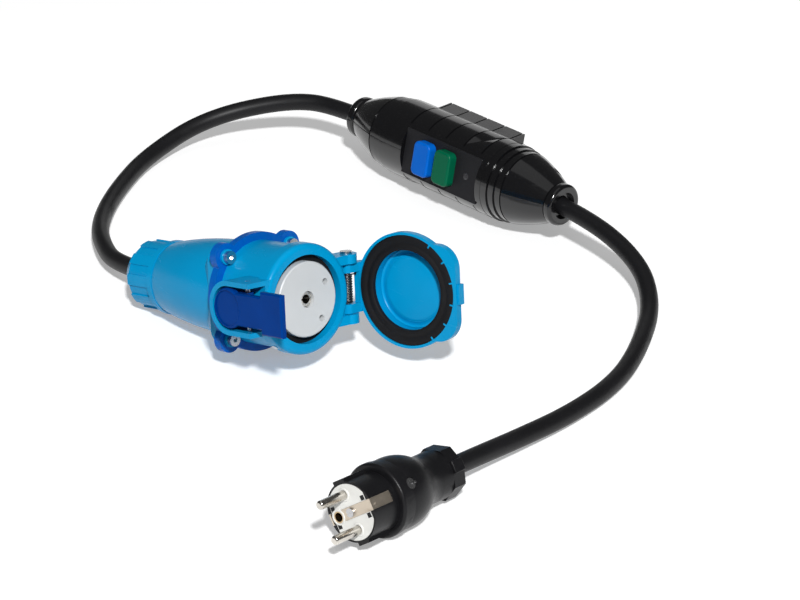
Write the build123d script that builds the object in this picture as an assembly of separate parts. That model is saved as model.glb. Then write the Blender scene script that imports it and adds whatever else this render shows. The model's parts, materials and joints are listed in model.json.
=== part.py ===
from build123d import *
import math
import os

# Adapter lead: a blue shuttered coupler, a black in-line earth-leakage box and a black earthed plug,
# joined by two short lengths of round rubber cable. It lies on a table as it was laid down.
# Row frame: X along the box, Z up, origin at the middle of the narrow foot that the box lies on.
# Each assembly is drawn along its own X axis, with its cable leaving towards -X on the coupler and
# the plug, and is then placed in the row frame.

# General fits
OVERRUN = 2.0
SLIP = 0.15
RUNNING = 0.06
SOFT_GAP = 0.3
FINE = 0.02

# Cable
CABLE_RADIUS = 5.25

# Coupler, front housing
RIM_RADIUS = 30.8
RIM_LENGTH = 9.0
RIM_STEP = 2.0
RIM_ROUND = 3.0
BORE_RADIUS = 24.6
HOUSING_RADIUS = 28.8
HOUSING_LENGTH = 39.4
SCREW_SPACING = 46.0
LUG_RADIUS = 4.4
LUG_LENGTH = 1.4

# Coupler, screws that hold the housing to the handle
SCREW_RADIUS = 2.0
SCREW_HEAD_RADIUS = 3.6
SCREW_HEAD_LENGTH = 2.8
SCREW_GRIP = 7.0
SCREW_SOCKET_RADIUS = 1.5
SCREW_SOCKET_DEPTH = 1.4
SCREW_SOCKET_SIDES = 6

# Coupler, gasket between the halves
GASKET_SIDE = 57.0
GASKET_ROUND = 10.0
GASKET_LENGTH = 5.0
GASKET_EAR_RADIUS = 7.6
GASKET_DISC_RADIUS = 33.2

# Coupler, handle
FLANGE_SIDE = 55.0
FLANGE_ROUND = 9.0
FLANGE_LENGTH = 6.0
GUSSET_LENGTH = 16.0
HANDLE_FRONT_RADIUS = 27.0
HANDLE_REAR_RADIUS = 20.9
HANDLE_LENGTH = 63.6
HANDLE_BULGE = 1.6
HANDLE_CAVITY_FRONT = 22.0
HANDLE_CAVITY_REAR = 15.0
HANDLE_WALL_END = 14.0
HANDLE_THROAT = 9.6

# Coupler, gland nut and its rubber seal
NUT_RADIUS = 19.0
NUT_RIB_RADIUS = 19.9
NUT_COLLAR_RADIUS = 21.3
NUT_COLLAR_LENGTH = 4.0
NUT_LENGTH = 29.6
NUT_NOSE_LENGTH = 7.0
NUT_NOSE_RADIUS = 14.5
NUT_RIB_COUNT = 10
NUT_RIB_WIDTH = 6.4
NUT_BORE = 9.4
NUT_ROUND = 1.0
NUT_MOUTH_LENGTH = 8.0
SEAL_LENGTH = 16.0

# Coupler, contact disc and what lies behind it
DISC_RADIUS = 20.9
DISC_LENGTH = 12.0
DISC_EDGE = 0.6
DISC_HOLE = 4.6
DISC_PORT = 1.8
DISC_PORT_OFFSET = 15.4
PORT_ANGLES = (31.0, -51.0)
SHUTTER_TURN = 30.0
MOUTH_SEAL_LENGTH = 7.0
MOUTH_SEAL_INSET = 4.5
CARRIER_GAP = 0.4
CARRIER_LENGTH = 27.0
EARTH_RADIUS = 4.1
EARTH_BORE = 2.6
EARTH_LENGTH = 36.0
EARTH_INSET = 1.5
EARTH_DEPTH = 24.0
EARTH_SLOT = 1.0
TIP_RADIUS = 1.5
TIP_LENGTH = 3.0
CONTACT_RADIUS = 2.3
CONTACT_LENGTH = 16.0
CONTACT_SPRING_WALL = 0.7
CONTACT_SPRING_LENGTH = 7.0

# Coupler, latch pod on the -Y side
THUMB_BACK = 21.4
THUMB_RADIUS = 11.2
LATCH_INNER = 39.4
LATCH_THICKNESS = 3.2
LATCH_GAP = 1.0
LATCH_HEAD_START = 9.0
LATCH_HEAD_END = 26.0
LATCH_HEAD_HALF = 11.8
LATCH_NECK_HALF = 9.0
LATCH_LIP_HALF = 8.5
LATCH_LIP_LENGTH = 3.4
LATCH_LIP_START = 6.2
LATCH_LIP_REACH = 4.2
LATCH_EDGE = 0.8
LATCH_PIN_PLACE = 8.0
LATCH_PIN_SINK = 3.8
LATCH_PIN_RADIUS = 1.5
LATCH_BOSS_RADIUS = 3.0
THUMB_DISH_RADIUS = 10.0
THUMB_DISH_DEPTH = 0.8
POD_WALL = 3.8
POD_LIP = 2.8
POD_DEPTH = 9.7
POD_ROOT = 20.0
POD_FRONT = 0.5
LATCH_SPRING_RADIUS = 2.6
LATCH_SPRING_HEIGHT = 3.4

# Coupler, hinge on the +Y side
HINGE_X = -6.0
HINGE_Y = 35.0
HINGE_PIN_RADIUS = 2.0
HINGE_HEAD_RADIUS = 3.4
HINGE_HEAD_LENGTH = 1.4
EAR_RADIUS = 6.0
EAR_OUTER = 19.5
EAR_THICKNESS = 5.2
EAR_FRONT = -1.0
EAR_ROOT = 18.0
HINGE_BASE_REACH = 29.0
HINGE_BASE_FRONT = -2.6
ARM_THICKNESS = 5.2
ARM_GAP = 0.3
KNUCKLE_RADIUS = 3.6
ARM_END_RADIUS = 2.2
ARM_END_X = 3.4
ARM_END_Y = 32.0
WEB_BACK = -0.8
WEB_TOP = 33.8
SPRING_RADIUS = 2.55
SPRING_WIRE_RADIUS = 0.4
SPRING_PITCH = 1.42
SPRING_TURNS = 11
SPRING_LEG = 4.6
SPRING_FOOT_Y = 29.9
SPRING_STEPS = 48

# Coupler, lid; it is drawn shut and turned open about the hinge
LID_OPEN = 102.0
LID_RADIUS = 32.5
LID_FAR_REACH = 33.0
LID_FAR_HALF = 27.0
LID_FAR_ROUND = 13.0
LID_BACK_GAP = 0.4
LID_DEPTH = 5.2
LID_EDGE = 1.2
LID_CROWN_FOOT = 30.5
LID_CROWN_RADIUS = 24.6
LID_CROWN_DEPTH = 12.6
LID_CROWN_BULGE = 1.2
LID_GASKET_RADIUS = 30.8
LID_GASKET_LENGTH = 3.0
LID_RECESS_RADIUS = 22.3
LID_RECESS_DEPTH = 8.6
LID_DISC_RADIUS = 19.0
LID_DISC_STEP = 1.2
LID_TAB_REACH = 34.6
LID_TAB_HALF = 5.6
LID_TAB_LENGTH = 4.2

# Coupler, small drain stud low near the mouth
DRAIN_X = -7.0
DRAIN_ANGLE = 232.0
DRAIN_RADIUS = 1.7
DRAIN_DEPTH = 2.2
DRAIN_RISE = 0.5

# Coupler in the row frame
COUPLER_FACE_X = 96.3
COUPLER_FACE_Y = -230.6
COUPLER_TILT = 13.0
COUPLER_ROLL = -9.5

# Box, casing
BOX_HALF_LENGTH = 88.8
BOX_TILT = 12.0
BOX_HEADING = -2.0
BOX_RADIUS = 24.0
RING_RADIUS = 12.8
RING_LENGTH = 6.0
RING_ROUND = 2.0
RING_MOUTH = 8.2
RING_MOUTH_DEPTH = 3.0
RING_SPIGOT_RADIUS = 10.6
RING_SPIGOT_LENGTH = 5.0
NECK_RADIUS = 12.2
CONE_END = 31.8
BAND_END = 46.8
BAND_COUNT = 3
BAND_RADIUS = 24.7
BAND_STEP = 0.85
BAND_GROOVE = 0.9
BAND_GROOVE_DEPTH = 0.8
CONE_BULGE = 0.8
CASING_WALL = 2.6
BLOCK_CENTRE_X = 2.8
BLOCK_ENDS = 113.6
BLOCK_TOP = 25.8
BLOCK_REACH = 15.5
BLOCK_START = 3.5
BLOCK_GROOVE = 1.0
BLOCK_GROOVE_DEPTH = 0.8
BLOCK_GROOVE_COUNT = 5
BLOCK_GROOVE_PITCH = 15.2
FOOT_DEPTH = 0.6
FOOT_KEEP = 3.0

# Box, panel, buttons and indicator
PANEL_X = 5.1
PANEL_ENDS = 113.6
PANEL_HEIGHT = 28.0
PANEL_DEPTH = 20.9
PANEL_THICKNESS = 1.6
PANEL_LEDGE = 2.0
TEST_X = -8.0
RESET_X = 9.6
BUTTON_LENGTH = 13.6
BUTTON_HEIGHT = 21.0
BUTTON_ROUND = 3.6
BUTTON_PROUD = 5.5
BUTTON_EDGE = 1.3
BUTTON_GAP = 0.25
BUTTON_TRAVEL = 2.5
BUTTON_FLANGE = 0.9
BUTTON_FLANGE_LENGTH = 1.4
BUTTON_SPRING_RADIUS = 3.0
BUTTON_SPRING_WALL = 0.8
BUTTON_SPRING_GAP = 0.3
INDICATOR_X = 26.3
INDICATOR_RADIUS = 2.1
INDICATOR_LENGTH = 3.0

# Box, what it holds
BOARD_Y = -8.0
BOARD_THICKNESS = 1.6
BOARD_LENGTH = 74.0
BOARD_CENTRE_X = 3.0
TRANSFORMER_RADIUS = 11.0
TRANSFORMER_HOLE = 5.4
TRANSFORMER_LENGTH = 9.0
TRANSFORMER_X = -6.5
RELAY_LENGTH = 22.0
RELAY_DEPTH = 14.0
RELAY_HEIGHT = 26.0
RELAY_X = 17.5
TERMINAL_LENGTH = 9.0
TERMINAL_DEPTH = 8.0
TERMINAL_HEIGHT = 22.0
TERMINAL_PITCH = 7.3
TERMINAL_HOLE = 1.8
LEFT_TERMINAL_X = -27.5
RIGHT_TERMINAL_X = 33.5
BOARD_SEAT = 0.05
CLAMP_END = 26.8
CLAMP_LENGTH = 8.0
CLAMP_RADIUS = 12.5
CASE_SCREW_END = 16.8
CASE_SCREW_OFFSET = 8.6
CASE_SCREW_RADIUS = 1.4
CASE_SCREW_HEAD = 2.5
CASE_SCREW_HEAD_LENGTH = 2.0
CASE_SCREW_HEAD_Z = 9.0
CASE_SCREW_LENGTH = 15.0
CASE_SCREW_WELL = 2.9
CASE_POST_RADIUS = 3.0

# Plug, front sleeve and face
SLEEVE_RADIUS = 16.0
SLEEVE_LENGTH = 18.5
FACE_RADIUS = 14.9
FACE_HALF = 13.0
FACE_LENGTH = 8.0
RIB_REACH = 17.4
RIB_HALF = 4.0
RIB_LENGTH = 16.0
PIN_RADIUS = 2.4
PIN_LENGTH = 19.0
PIN_SPACING = 19.0
PIN_SHANK = 15.0
PIN_SHANK_RADIUS = 2.1
PIN_ROOT = 0.5
PIN_TIP_ROUND = 1.3
EARTH_OFFSET = 9.6
EARTH_TUBE_RADIUS = 3.1
EARTH_TUBE_BORE = 2.45
EARTH_TUBE_LENGTH = 18.0
STRIP_HALF = 3.0
STRIP_THICKNESS = 0.9
STRIP_LENGTH = 15.0
STRIP_END = 6.2
SIDE_STRIP_SINK = 0.5
FACE_SCREW_RADIUS = 1.6
FACE_SCREW_HEAD = 2.4
FACE_SCREW_HEAD_LENGTH = 1.2
FACE_SCREW_LENGTH = 9.0
FACE_SCREW_SLOT = 0.8

# Plug, rear body
COLLAR_RADIUS = 20.0
COLLAR_LENGTH = 4.5
COLLAR_ROUND = 1.6
PLUG_BAND_RADIUS = 19.4
PLUG_BAND_LENGTH = 4.5
BULB_RADIUS = 18.8
BULB_END_RADIUS = 16.2
BULB_SWELL = 1.6
BULB_LENGTH = 18.5
NECK_LENGTH = 12.0
PLUG_NECK_RADIUS = 13.4
WAIST_DIP = 1.0
PLUG_WALL = 4.0
PLUG_NUT_RADIUS = 14.6
PLUG_NUT_LENGTH = 16.0
PLUG_NUT_SIDES = 8
PLUG_NUT_HEAD = 8.5
PLUG_NUT_SHOULDER = 13.5
PLUG_NUT_FOOT = 13.3
PLUG_NUT_BORE = 9.0
PLUG_NUT_MOUTH = 3.0
PLUG_SEAL_LENGTH = 9.0
BODY_SCREW_RADIUS = 2.0
BODY_SCREW_HEAD = 3.0
BODY_SCREW_HEAD_LENGTH = 3.0
BODY_SCREW_LENGTH = 9.0
BODY_SCREW_SLOT = 1.2
BODY_SCREW_X = 28.5
BODY_SCREW_ANGLE = 4.5
BODY_SCREW_WELL = 3.3

# Plug in the row frame
PLUG_FACE_X = 244.4
PLUG_FACE_Y = -342.3
PLUG_HEADING = -85.4
PLUG_ROLL = 36.0

# Cable routes in the row frame, between the points at their two ends
LEFT_ROUTE = [(-139.5, -19.5, 28.5), (-175.0, -60.0, 17.5), (-175.5, -110.0, 6.5), (-153.5, -152.5, 6.0),
              (-129.0, -186.5, 7.0), (-101.5, -211.5, 10.0)]
RIGHT_ROUTE = [(151.0, -19.2, 17.0), (180.8, -41.0, 7.5), (208.0, -82.2, 6.0), (226.8, -122.5, 6.0),
               (234.0, -167.5, 6.5), (235.3, -213.0, 9.0)]
CORD_EXIT = 18.0
CORD_APPROACH = 26.0
ROUTE_RADIUS_SHARE = 0.45

# Derived places on the coupler
GASKET_FRONT = -HOUSING_LENGTH
GASKET_REAR = GASKET_FRONT - GASKET_LENGTH
HANDLE_END = GASKET_REAR - HANDLE_LENGTH
NUT_END = HANDLE_END - NUT_LENGTH
THUMB_PLACE = HOUSING_LENGTH - THUMB_BACK
LATCH_OUTER = LATCH_INNER + LATCH_THICKNESS
LATCH_PIN_DEPTH = LATCH_INNER - LATCH_PIN_SINK
POD_RISE = LATCH_INNER + POD_LIP
POD_FLOOR = LATCH_INNER - POD_DEPTH
ARM_INNER = EAR_OUTER - EAR_THICKNESS - ARM_GAP - ARM_THICKNESS

# Derived places on the box
LEFT_CONE_X = CONE_END - BOX_HALF_LENGTH
RIGHT_CONE_X = BOX_HALF_LENGTH - CONE_END
LEFT_BODY_X = BAND_END - BOX_HALF_LENGTH
RIGHT_BODY_X = BOX_HALF_LENGTH - BAND_END
BLOCK_LENGTH = 2 * BOX_HALF_LENGTH - BLOCK_ENDS
PANEL_LENGTH = 2 * BOX_HALF_LENGTH - PANEL_ENDS
CLAMP_X = BOX_HALF_LENGTH - CLAMP_END
CASE_SCREW_X = BOX_HALF_LENGTH - CASE_SCREW_END
BOARD_HEIGHT = 2 * (math.sqrt((BOX_RADIUS - CASING_WALL) ** 2 - BOARD_Y ** 2) - SLIP)

# Derived places on the plug
COLLAR_REAR = -SLEEVE_LENGTH - COLLAR_LENGTH
BULB_START = COLLAR_REAR - PLUG_BAND_LENGTH
BODY_END = BULB_START - BULB_LENGTH - NECK_LENGTH
PLUG_NUT_END = BODY_END - PLUG_NUT_LENGTH
PLUG_TILT = math.degrees(math.atan((COLLAR_RADIUS - PLUG_NUT_RADIUS) / (COLLAR_REAR - PLUG_NUT_END)))


def rod(radius, start, end):
    """A round bar along X."""
    return Pos((start + end) / 2, 0, 0) * Rot(0, 90, 0) * Cylinder(radius, end - start)


def tube(radius, bore, start, end):
    """A round tube along X."""
    return rod(radius, start, end) - rod(bore, start - OVERRUN, end + OVERRUN)


def block(start, end, left, right, low, high):
    """A box between two corners."""
    middle = Pos((start + end) / 2, (left + right) / 2, (low + high) / 2)
    return middle * Box(end - start, right - left, high - low)


def upright(radius, x, y, low, high):
    """A round bar along Z."""
    return Pos(x, y, (low + high) / 2) * Cylinder(radius, high - low)


def turned(*edges):
    """A solid turned about X from the edges of its half outline."""
    return revolve(make_face(list(edges)), Axis.X)


def hoops(shape, x, radius):
    """The round edges of a shape at one place along X."""
    found = []
    for edge in shape.edges().filter_by(GeomType.CIRCLE):
        middle = edge.arc_center
        if abs(middle.X - x) < FINE and abs(edge.radius - radius) < FINE:
            found.append(edge)
    return found


def around(offset, angle):
    """Y and Z of a point at an angle from +Y."""
    turn = math.radians(angle)
    return offset * math.cos(turn), offset * math.sin(turn)


def corner_places(spacing):
    """The four corners of a square about the X axis."""
    half = spacing / 2
    return [(half, half), (-half, half), (-half, -half), (half, -half)]


def pod_shape(wall, low, high, front):
    """The latch pod's outline, or its pocket's, standing out towards -Y."""
    half = THUMB_RADIUS + wall
    round_end = Pos(-THUMB_PLACE, 0, 0) * Circle(half)
    straight = Pos((front - THUMB_PLACE) / 2, 0, 0) * Rectangle(front + THUMB_PLACE, 2 * half)
    return extrude(Plane.XZ.offset(low) * (round_end + straight), high - low)


def hinge_ears():
    """Two ears and the base between them that carry the hinge pin."""
    inner = EAR_OUTER - EAR_THICKNESS
    back = HINGE_X - EAR_RADIUS
    base = block(back, HINGE_BASE_FRONT, EAR_ROOT, HINGE_BASE_REACH, -EAR_OUTER, EAR_OUTER)
    ears = base
    for low, high in ((inner, EAR_OUTER), (-EAR_OUTER, -inner)):
        ears += block(back, EAR_FRONT, EAR_ROOT, HINGE_Y, low, high)
        ears += upright(EAR_RADIUS, HINGE_X, HINGE_Y, low, high)
    return ears


def make_front_housing():
    """The coupler's front shell, with its rim, screw lugs, latch pod and hinge ears."""
    rim_start = -RIM_LENGTH
    body = turned(Polyline((GASKET_FRONT, 0), (GASKET_FRONT, HOUSING_RADIUS),
                           (rim_start - RIM_STEP, HOUSING_RADIUS), (rim_start, RIM_RADIUS),
                           (0, RIM_RADIUS), (0, 0), (GASKET_FRONT, 0)))
    body = fillet(hoops(body, 0, RIM_RADIUS), RIM_ROUND)
    for y, z in corner_places(SCREW_SPACING):
        body += Pos(0, y, z) * rod(LUG_RADIUS, GASKET_FRONT, GASKET_FRONT + LUG_LENGTH)
    body += pod_shape(POD_WALL, POD_ROOT, POD_RISE, -POD_FRONT)
    body += hinge_ears()
    body -= rod(BORE_RADIUS, GASKET_FRONT - OVERRUN, OVERRUN)
    body -= pod_shape(LATCH_GAP, POD_FLOOR, POD_RISE + OVERRUN, OVERRUN)
    wall = THUMB_RADIUS + POD_WALL + OVERRUN
    body -= upright(LATCH_PIN_RADIUS, -LATCH_PIN_PLACE, -LATCH_PIN_DEPTH, -wall, wall)
    body -= upright(HINGE_PIN_RADIUS, HINGE_X, HINGE_Y, -EAR_OUTER - OVERRUN, EAR_OUTER + OVERRUN)
    for y, z in corner_places(SCREW_SPACING):
        seat = GASKET_FRONT + LUG_LENGTH
        body -= Pos(0, y, z) * rod(SCREW_RADIUS + SLIP, GASKET_FRONT - OVERRUN, seat + OVERRUN)
        body -= Pos(0, y, z) * rod(SCREW_HEAD_RADIUS + SLIP, seat, seat + SCREW_HEAD_LENGTH + OVERRUN)
    y, z = around(RIM_RADIUS - DRAIN_DEPTH, DRAIN_ANGLE)
    body -= Pos(DRAIN_X, y, z) * Rot(DRAIN_ANGLE, 0, 0) * Rot(-90, 0, 0) * Cylinder(
        DRAIN_RADIUS, 2 * DRAIN_DEPTH)
    return body


def make_drain_stud():
    """The small bright stud low in the rim."""
    y, z = around(RIM_RADIUS - DRAIN_DEPTH, DRAIN_ANGLE)
    stud = Pos(DRAIN_X, y, z) * Rot(DRAIN_ANGLE, 0, 0) * Rot(-90, 0, 0) * Cylinder(
        DRAIN_RADIUS, 2 * DRAIN_DEPTH + DRAIN_RISE)
    return stud - rod(RIM_RADIUS - 2 * DRAIN_DEPTH + SLIP, DRAIN_X - RIM_LENGTH, DRAIN_X + RIM_LENGTH)


def make_flange_gasket():
    """The soft blue plate between the housing and the handle, with an ear under each screw."""
    outline = RectangleRounded(GASKET_SIDE, GASKET_SIDE, GASKET_ROUND) + Circle(GASKET_DISC_RADIUS)
    plate = extrude(Plane.YZ.offset(GASKET_REAR) * outline, GASKET_LENGTH)
    for y, z in corner_places(SCREW_SPACING):
        plate += Pos(0, y, z) * rod(GASKET_EAR_RADIUS, GASKET_REAR, GASKET_FRONT)
    plate -= rod(BORE_RADIUS, GASKET_REAR - OVERRUN, GASKET_FRONT + OVERRUN)
    for y, z in corner_places(SCREW_SPACING):
        plate -= Pos(0, y, z) * rod(SCREW_RADIUS + SLIP, GASKET_REAR - OVERRUN, GASKET_FRONT + OVERRUN)
    return plate


def make_flange_screws():
    """Four socket-head screws, driven from the front."""
    screws = None
    seat = GASKET_FRONT + LUG_LENGTH
    for y, z in corner_places(SCREW_SPACING):
        screw = rod(SCREW_RADIUS, GASKET_REAR - SCREW_GRIP, seat)
        screw += rod(SCREW_HEAD_RADIUS, seat, seat + SCREW_HEAD_LENGTH)
        floor = Plane.YZ.offset(seat + SCREW_HEAD_LENGTH - SCREW_SOCKET_DEPTH)
        socket = floor * RegularPolygon(SCREW_SOCKET_RADIUS, SCREW_SOCKET_SIDES)
        screw -= extrude(socket, SCREW_SOCKET_DEPTH + OVERRUN)
        screw = Pos(0, y, z) * screw
        screws = screw if screws is None else screws + screw
    return screws


def make_handle():
    """The coupler's rear shell: a square flange that runs into a round tapered grip."""
    grip_end = HANDLE_END
    square_end = GASKET_REAR - FLANGE_LENGTH
    middle = (square_end + grip_end) / 2
    middle_radius = (HANDLE_FRONT_RADIUS + HANDLE_REAR_RADIUS) / 2 + HANDLE_BULGE
    grip = turned(Line((GASKET_REAR, 0), (GASKET_REAR, HANDLE_FRONT_RADIUS)),
                  Line((GASKET_REAR, HANDLE_FRONT_RADIUS), (square_end, HANDLE_FRONT_RADIUS)),
                  ThreePointArc((square_end, HANDLE_FRONT_RADIUS), (middle, middle_radius),
                                (grip_end, HANDLE_REAR_RADIUS)),
                  Line((grip_end, HANDLE_REAR_RADIUS), (grip_end, 0)),
                  Line((grip_end, 0), (GASKET_REAR, 0)))
    square = RectangleRounded(FLANGE_SIDE, FLANGE_SIDE, FLANGE_ROUND)
    grip += extrude(Plane.YZ.offset(square_end) * square, FLANGE_LENGTH)
    small = 2 * (HANDLE_FRONT_RADIUS - HANDLE_BULGE) / math.sqrt(2)
    far = Plane.YZ.offset(square_end - GUSSET_LENGTH) * RectangleRounded(small, small, FLANGE_ROUND)
    grip += loft([far, Plane.YZ.offset(square_end) * square])
    cavity_end = grip_end + HANDLE_WALL_END
    cavity = turned(Polyline((GASKET_REAR + OVERRUN, 0), (GASKET_REAR + OVERRUN, HANDLE_CAVITY_FRONT),
                             (square_end, HANDLE_CAVITY_FRONT), (cavity_end, HANDLE_CAVITY_REAR),
                             (cavity_end, 0), (GASKET_REAR + OVERRUN, 0)))
    grip -= cavity
    grip -= rod(HANDLE_THROAT, grip_end - OVERRUN, grip_end + HANDLE_WALL_END + OVERRUN)
    for y, z in corner_places(SCREW_SPACING):
        grip -= Pos(0, y, z) * rod(SCREW_RADIUS + RUNNING, GASKET_REAR - SCREW_GRIP, GASKET_REAR + OVERRUN)
    return grip


def make_gland_nut():
    """The nut that grips the coupler's cable: a front collar, raised ribs and a tapered nose."""
    nose = NUT_END + NUT_NOSE_LENGTH
    collar = HANDLE_END - NUT_COLLAR_LENGTH
    nut = turned(Polyline((NUT_END, 0), (NUT_END, NUT_NOSE_RADIUS), (nose, NUT_RADIUS), (collar, NUT_RADIUS),
                          (collar, NUT_COLLAR_RADIUS), (HANDLE_END, NUT_COLLAR_RADIUS), (HANDLE_END, 0),
                          (NUT_END, 0)))
    rib = block(nose, collar, 0, NUT_RIB_RADIUS, -NUT_RIB_WIDTH / 2, NUT_RIB_WIDTH / 2)
    ribs = None
    for number in range(NUT_RIB_COUNT):
        turned_rib = Rot(360 * number / NUT_RIB_COUNT, 0, 0) * rib
        ribs = turned_rib if ribs is None else ribs + turned_rib
    nut += ribs & rod(NUT_RIB_RADIUS, nose, collar)
    nut -= rod(CABLE_RADIUS + SOFT_GAP, NUT_END - OVERRUN, HANDLE_END + OVERRUN)
    nut -= rod(NUT_BORE, NUT_END + NUT_MOUTH_LENGTH, HANDLE_END + OVERRUN)
    return nut


def make_gland_seal():
    """The rubber bush inside the gland nut that holds the cable."""
    start = NUT_END + NUT_MOUTH_LENGTH
    return tube(NUT_BORE - SLIP, CABLE_RADIUS, start, start + SEAL_LENGTH)


def make_mouth_seal():
    """The black ring deep in the gap round the contact disc."""
    front = -MOUTH_SEAL_INSET
    return tube(BORE_RADIUS, DISC_RADIUS + SOFT_GAP, front - MOUTH_SEAL_LENGTH, front)


def make_shutter_disc():
    """The pale disc that turns to uncover the contacts."""
    disc = rod(DISC_RADIUS, -DISC_LENGTH, 0)
    disc = chamfer(hoops(disc, 0, DISC_RADIUS), DISC_EDGE)
    disc -= rod(DISC_HOLE, -DISC_LENGTH - OVERRUN, OVERRUN)
    for angle in PORT_ANGLES:
        y, z = around(DISC_PORT_OFFSET, angle)
        disc -= Pos(0, y, z) * rod(DISC_PORT, -DISC_LENGTH - OVERRUN, OVERRUN)
    return disc


def make_contact_carrier():
    """The insulating block behind the disc that holds the contacts."""
    front = -DISC_LENGTH - CARRIER_GAP
    rear = front - CARRIER_LENGTH
    carrier = rod(BORE_RADIUS - SLIP, rear, front)
    carrier -= rod(EARTH_RADIUS + RUNNING, rear - OVERRUN, front + OVERRUN)
    for angle in PORT_ANGLES:
        y, z = around(DISC_PORT_OFFSET, angle + SHUTTER_TURN)
        carrier -= Pos(0, y, z) * rod(TIP_RADIUS + SLIP, front - TIP_LENGTH - OVERRUN, front + OVERRUN)
        carrier -= Pos(0, y, z) * rod(CONTACT_RADIUS + RUNNING, rear + OVERRUN, front - TIP_LENGTH)
    return carrier


def make_earth_contact():
    """The split sleeve in the middle of the disc."""
    front = -EARTH_INSET
    sleeve = rod(EARTH_RADIUS, front - EARTH_LENGTH, front)
    sleeve -= rod(EARTH_BORE, front - EARTH_DEPTH, front + OVERRUN)
    sleeve -= block(front - EARTH_DEPTH / 2, front + OVERRUN, -EARTH_RADIUS, EARTH_RADIUS,
                    -EARTH_SLOT / 2, EARTH_SLOT / 2)
    return sleeve


def make_contact(angle):
    """A spring-backed butt contact with a narrow tip."""
    front = -DISC_LENGTH - CARRIER_GAP
    y, z = around(DISC_PORT_OFFSET, angle + SHUTTER_TURN)
    contact = rod(CONTACT_RADIUS, front - TIP_LENGTH - CONTACT_LENGTH, front - TIP_LENGTH - RUNNING)
    contact += rod(TIP_RADIUS, front - TIP_LENGTH - CONTACT_LENGTH / 2, front)
    return Pos(0, y, z) * contact


def make_contact_springs():
    """The two springs behind the butt contacts, as plain sleeves."""
    rear = -DISC_LENGTH - CARRIER_GAP - TIP_LENGTH - CONTACT_LENGTH
    springs = None
    for angle in PORT_ANGLES:
        y, z = around(DISC_PORT_OFFSET, angle + SHUTTER_TURN)
        spring = Pos(0, y, z) * tube(CONTACT_RADIUS - SLIP, CONTACT_RADIUS - SLIP - CONTACT_SPRING_WALL,
                                     rear - CONTACT_SPRING_LENGTH + OVERRUN, rear)
        springs = spring if springs is None else springs + spring
    return springs


def make_latch():
    """The dark blue latch: a round thumb pad, a neck and a wide hooked head."""
    head_middle = (LATCH_HEAD_START + LATCH_HEAD_END) / 2
    pad = Pos(-THUMB_PLACE, 0, 0) * Circle(THUMB_RADIUS)
    neck_end = LATCH_HEAD_START + LATCH_NECK_HALF
    neck = Rectangle(neck_end + THUMB_PLACE, 2 * LATCH_NECK_HALF)
    pad += Pos((neck_end - THUMB_PLACE) / 2, 0, 0) * neck
    pad += Pos(head_middle, 0, 0) * Rectangle(LATCH_HEAD_END - LATCH_HEAD_START, 2 * LATCH_HEAD_HALF)
    latch = extrude(Plane.XZ.offset(LATCH_INNER) * pad, LATCH_THICKNESS)
    outer = latch.faces().sort_by(Axis.Y)[0]
    latch = chamfer(outer.edges(), LATCH_EDGE)
    dish = Rot(90, 0, 0) * Cylinder(THUMB_DISH_RADIUS, 2 * THUMB_DISH_DEPTH)
    latch -= Pos(-THUMB_PLACE, -LATCH_OUTER, 0) * dish
    latch += block(LATCH_LIP_START, LATCH_LIP_START + LATCH_LIP_LENGTH, -LATCH_INNER - LATCH_EDGE,
                   -LATCH_INNER + LATCH_LIP_REACH, -LATCH_LIP_HALF, LATCH_LIP_HALF)
    boss_half = LATCH_NECK_HALF
    latch += block(-LATCH_PIN_PLACE - LATCH_BOSS_RADIUS, -LATCH_PIN_PLACE + LATCH_BOSS_RADIUS,
                   -LATCH_INNER - LATCH_EDGE, -LATCH_PIN_DEPTH, -boss_half, boss_half)
    latch += upright(LATCH_BOSS_RADIUS, -LATCH_PIN_PLACE, -LATCH_PIN_DEPTH, -boss_half, boss_half)
    latch -= upright(LATCH_PIN_RADIUS + RUNNING, -LATCH_PIN_PLACE, -LATCH_PIN_DEPTH,
                     -boss_half - OVERRUN, boss_half + OVERRUN)
    return latch


def make_latch_pin():
    """The pin that the latch rocks on."""
    half = THUMB_RADIUS + POD_WALL
    return upright(LATCH_PIN_RADIUS, -LATCH_PIN_PLACE, -LATCH_PIN_DEPTH, -half, half)


def make_latch_spring():
    """The short spring under the thumb pad, as a plain stub on the pocket floor."""
    return extrude(Plane.XZ.offset(POD_FLOOR) * Pos(-THUMB_PLACE, 0, 0) * Circle(LATCH_SPRING_RADIUS),
                   LATCH_SPRING_HEIGHT)


def make_hinge_pin():
    """The lid's hinge pin, with its head on top."""
    pin = upright(HINGE_PIN_RADIUS, HINGE_X, HINGE_Y, -EAR_OUTER, EAR_OUTER)
    pin += upright(HINGE_HEAD_RADIUS, HINGE_X, HINGE_Y, EAR_OUTER, EAR_OUTER + HINGE_HEAD_LENGTH)
    return pin


def spring_least_gap():
    """The hinge spring's least gap between one turn and the next."""
    points = []
    steps = SPRING_STEPS
    for step in range(SPRING_TURNS * steps + 1):
        turn = 2 * math.pi * step / steps
        rise = SPRING_PITCH * step / steps
        points.append(Vector(SPRING_RADIUS * math.cos(turn), SPRING_RADIUS * math.sin(turn), rise))
    least = min((points[i] - points[j]).length for i in range(len(points))
                for j in range(i + steps // 2, min(i + 2 * steps, len(points))))
    return least - 2 * SPRING_WIRE_RADIUS


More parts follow.
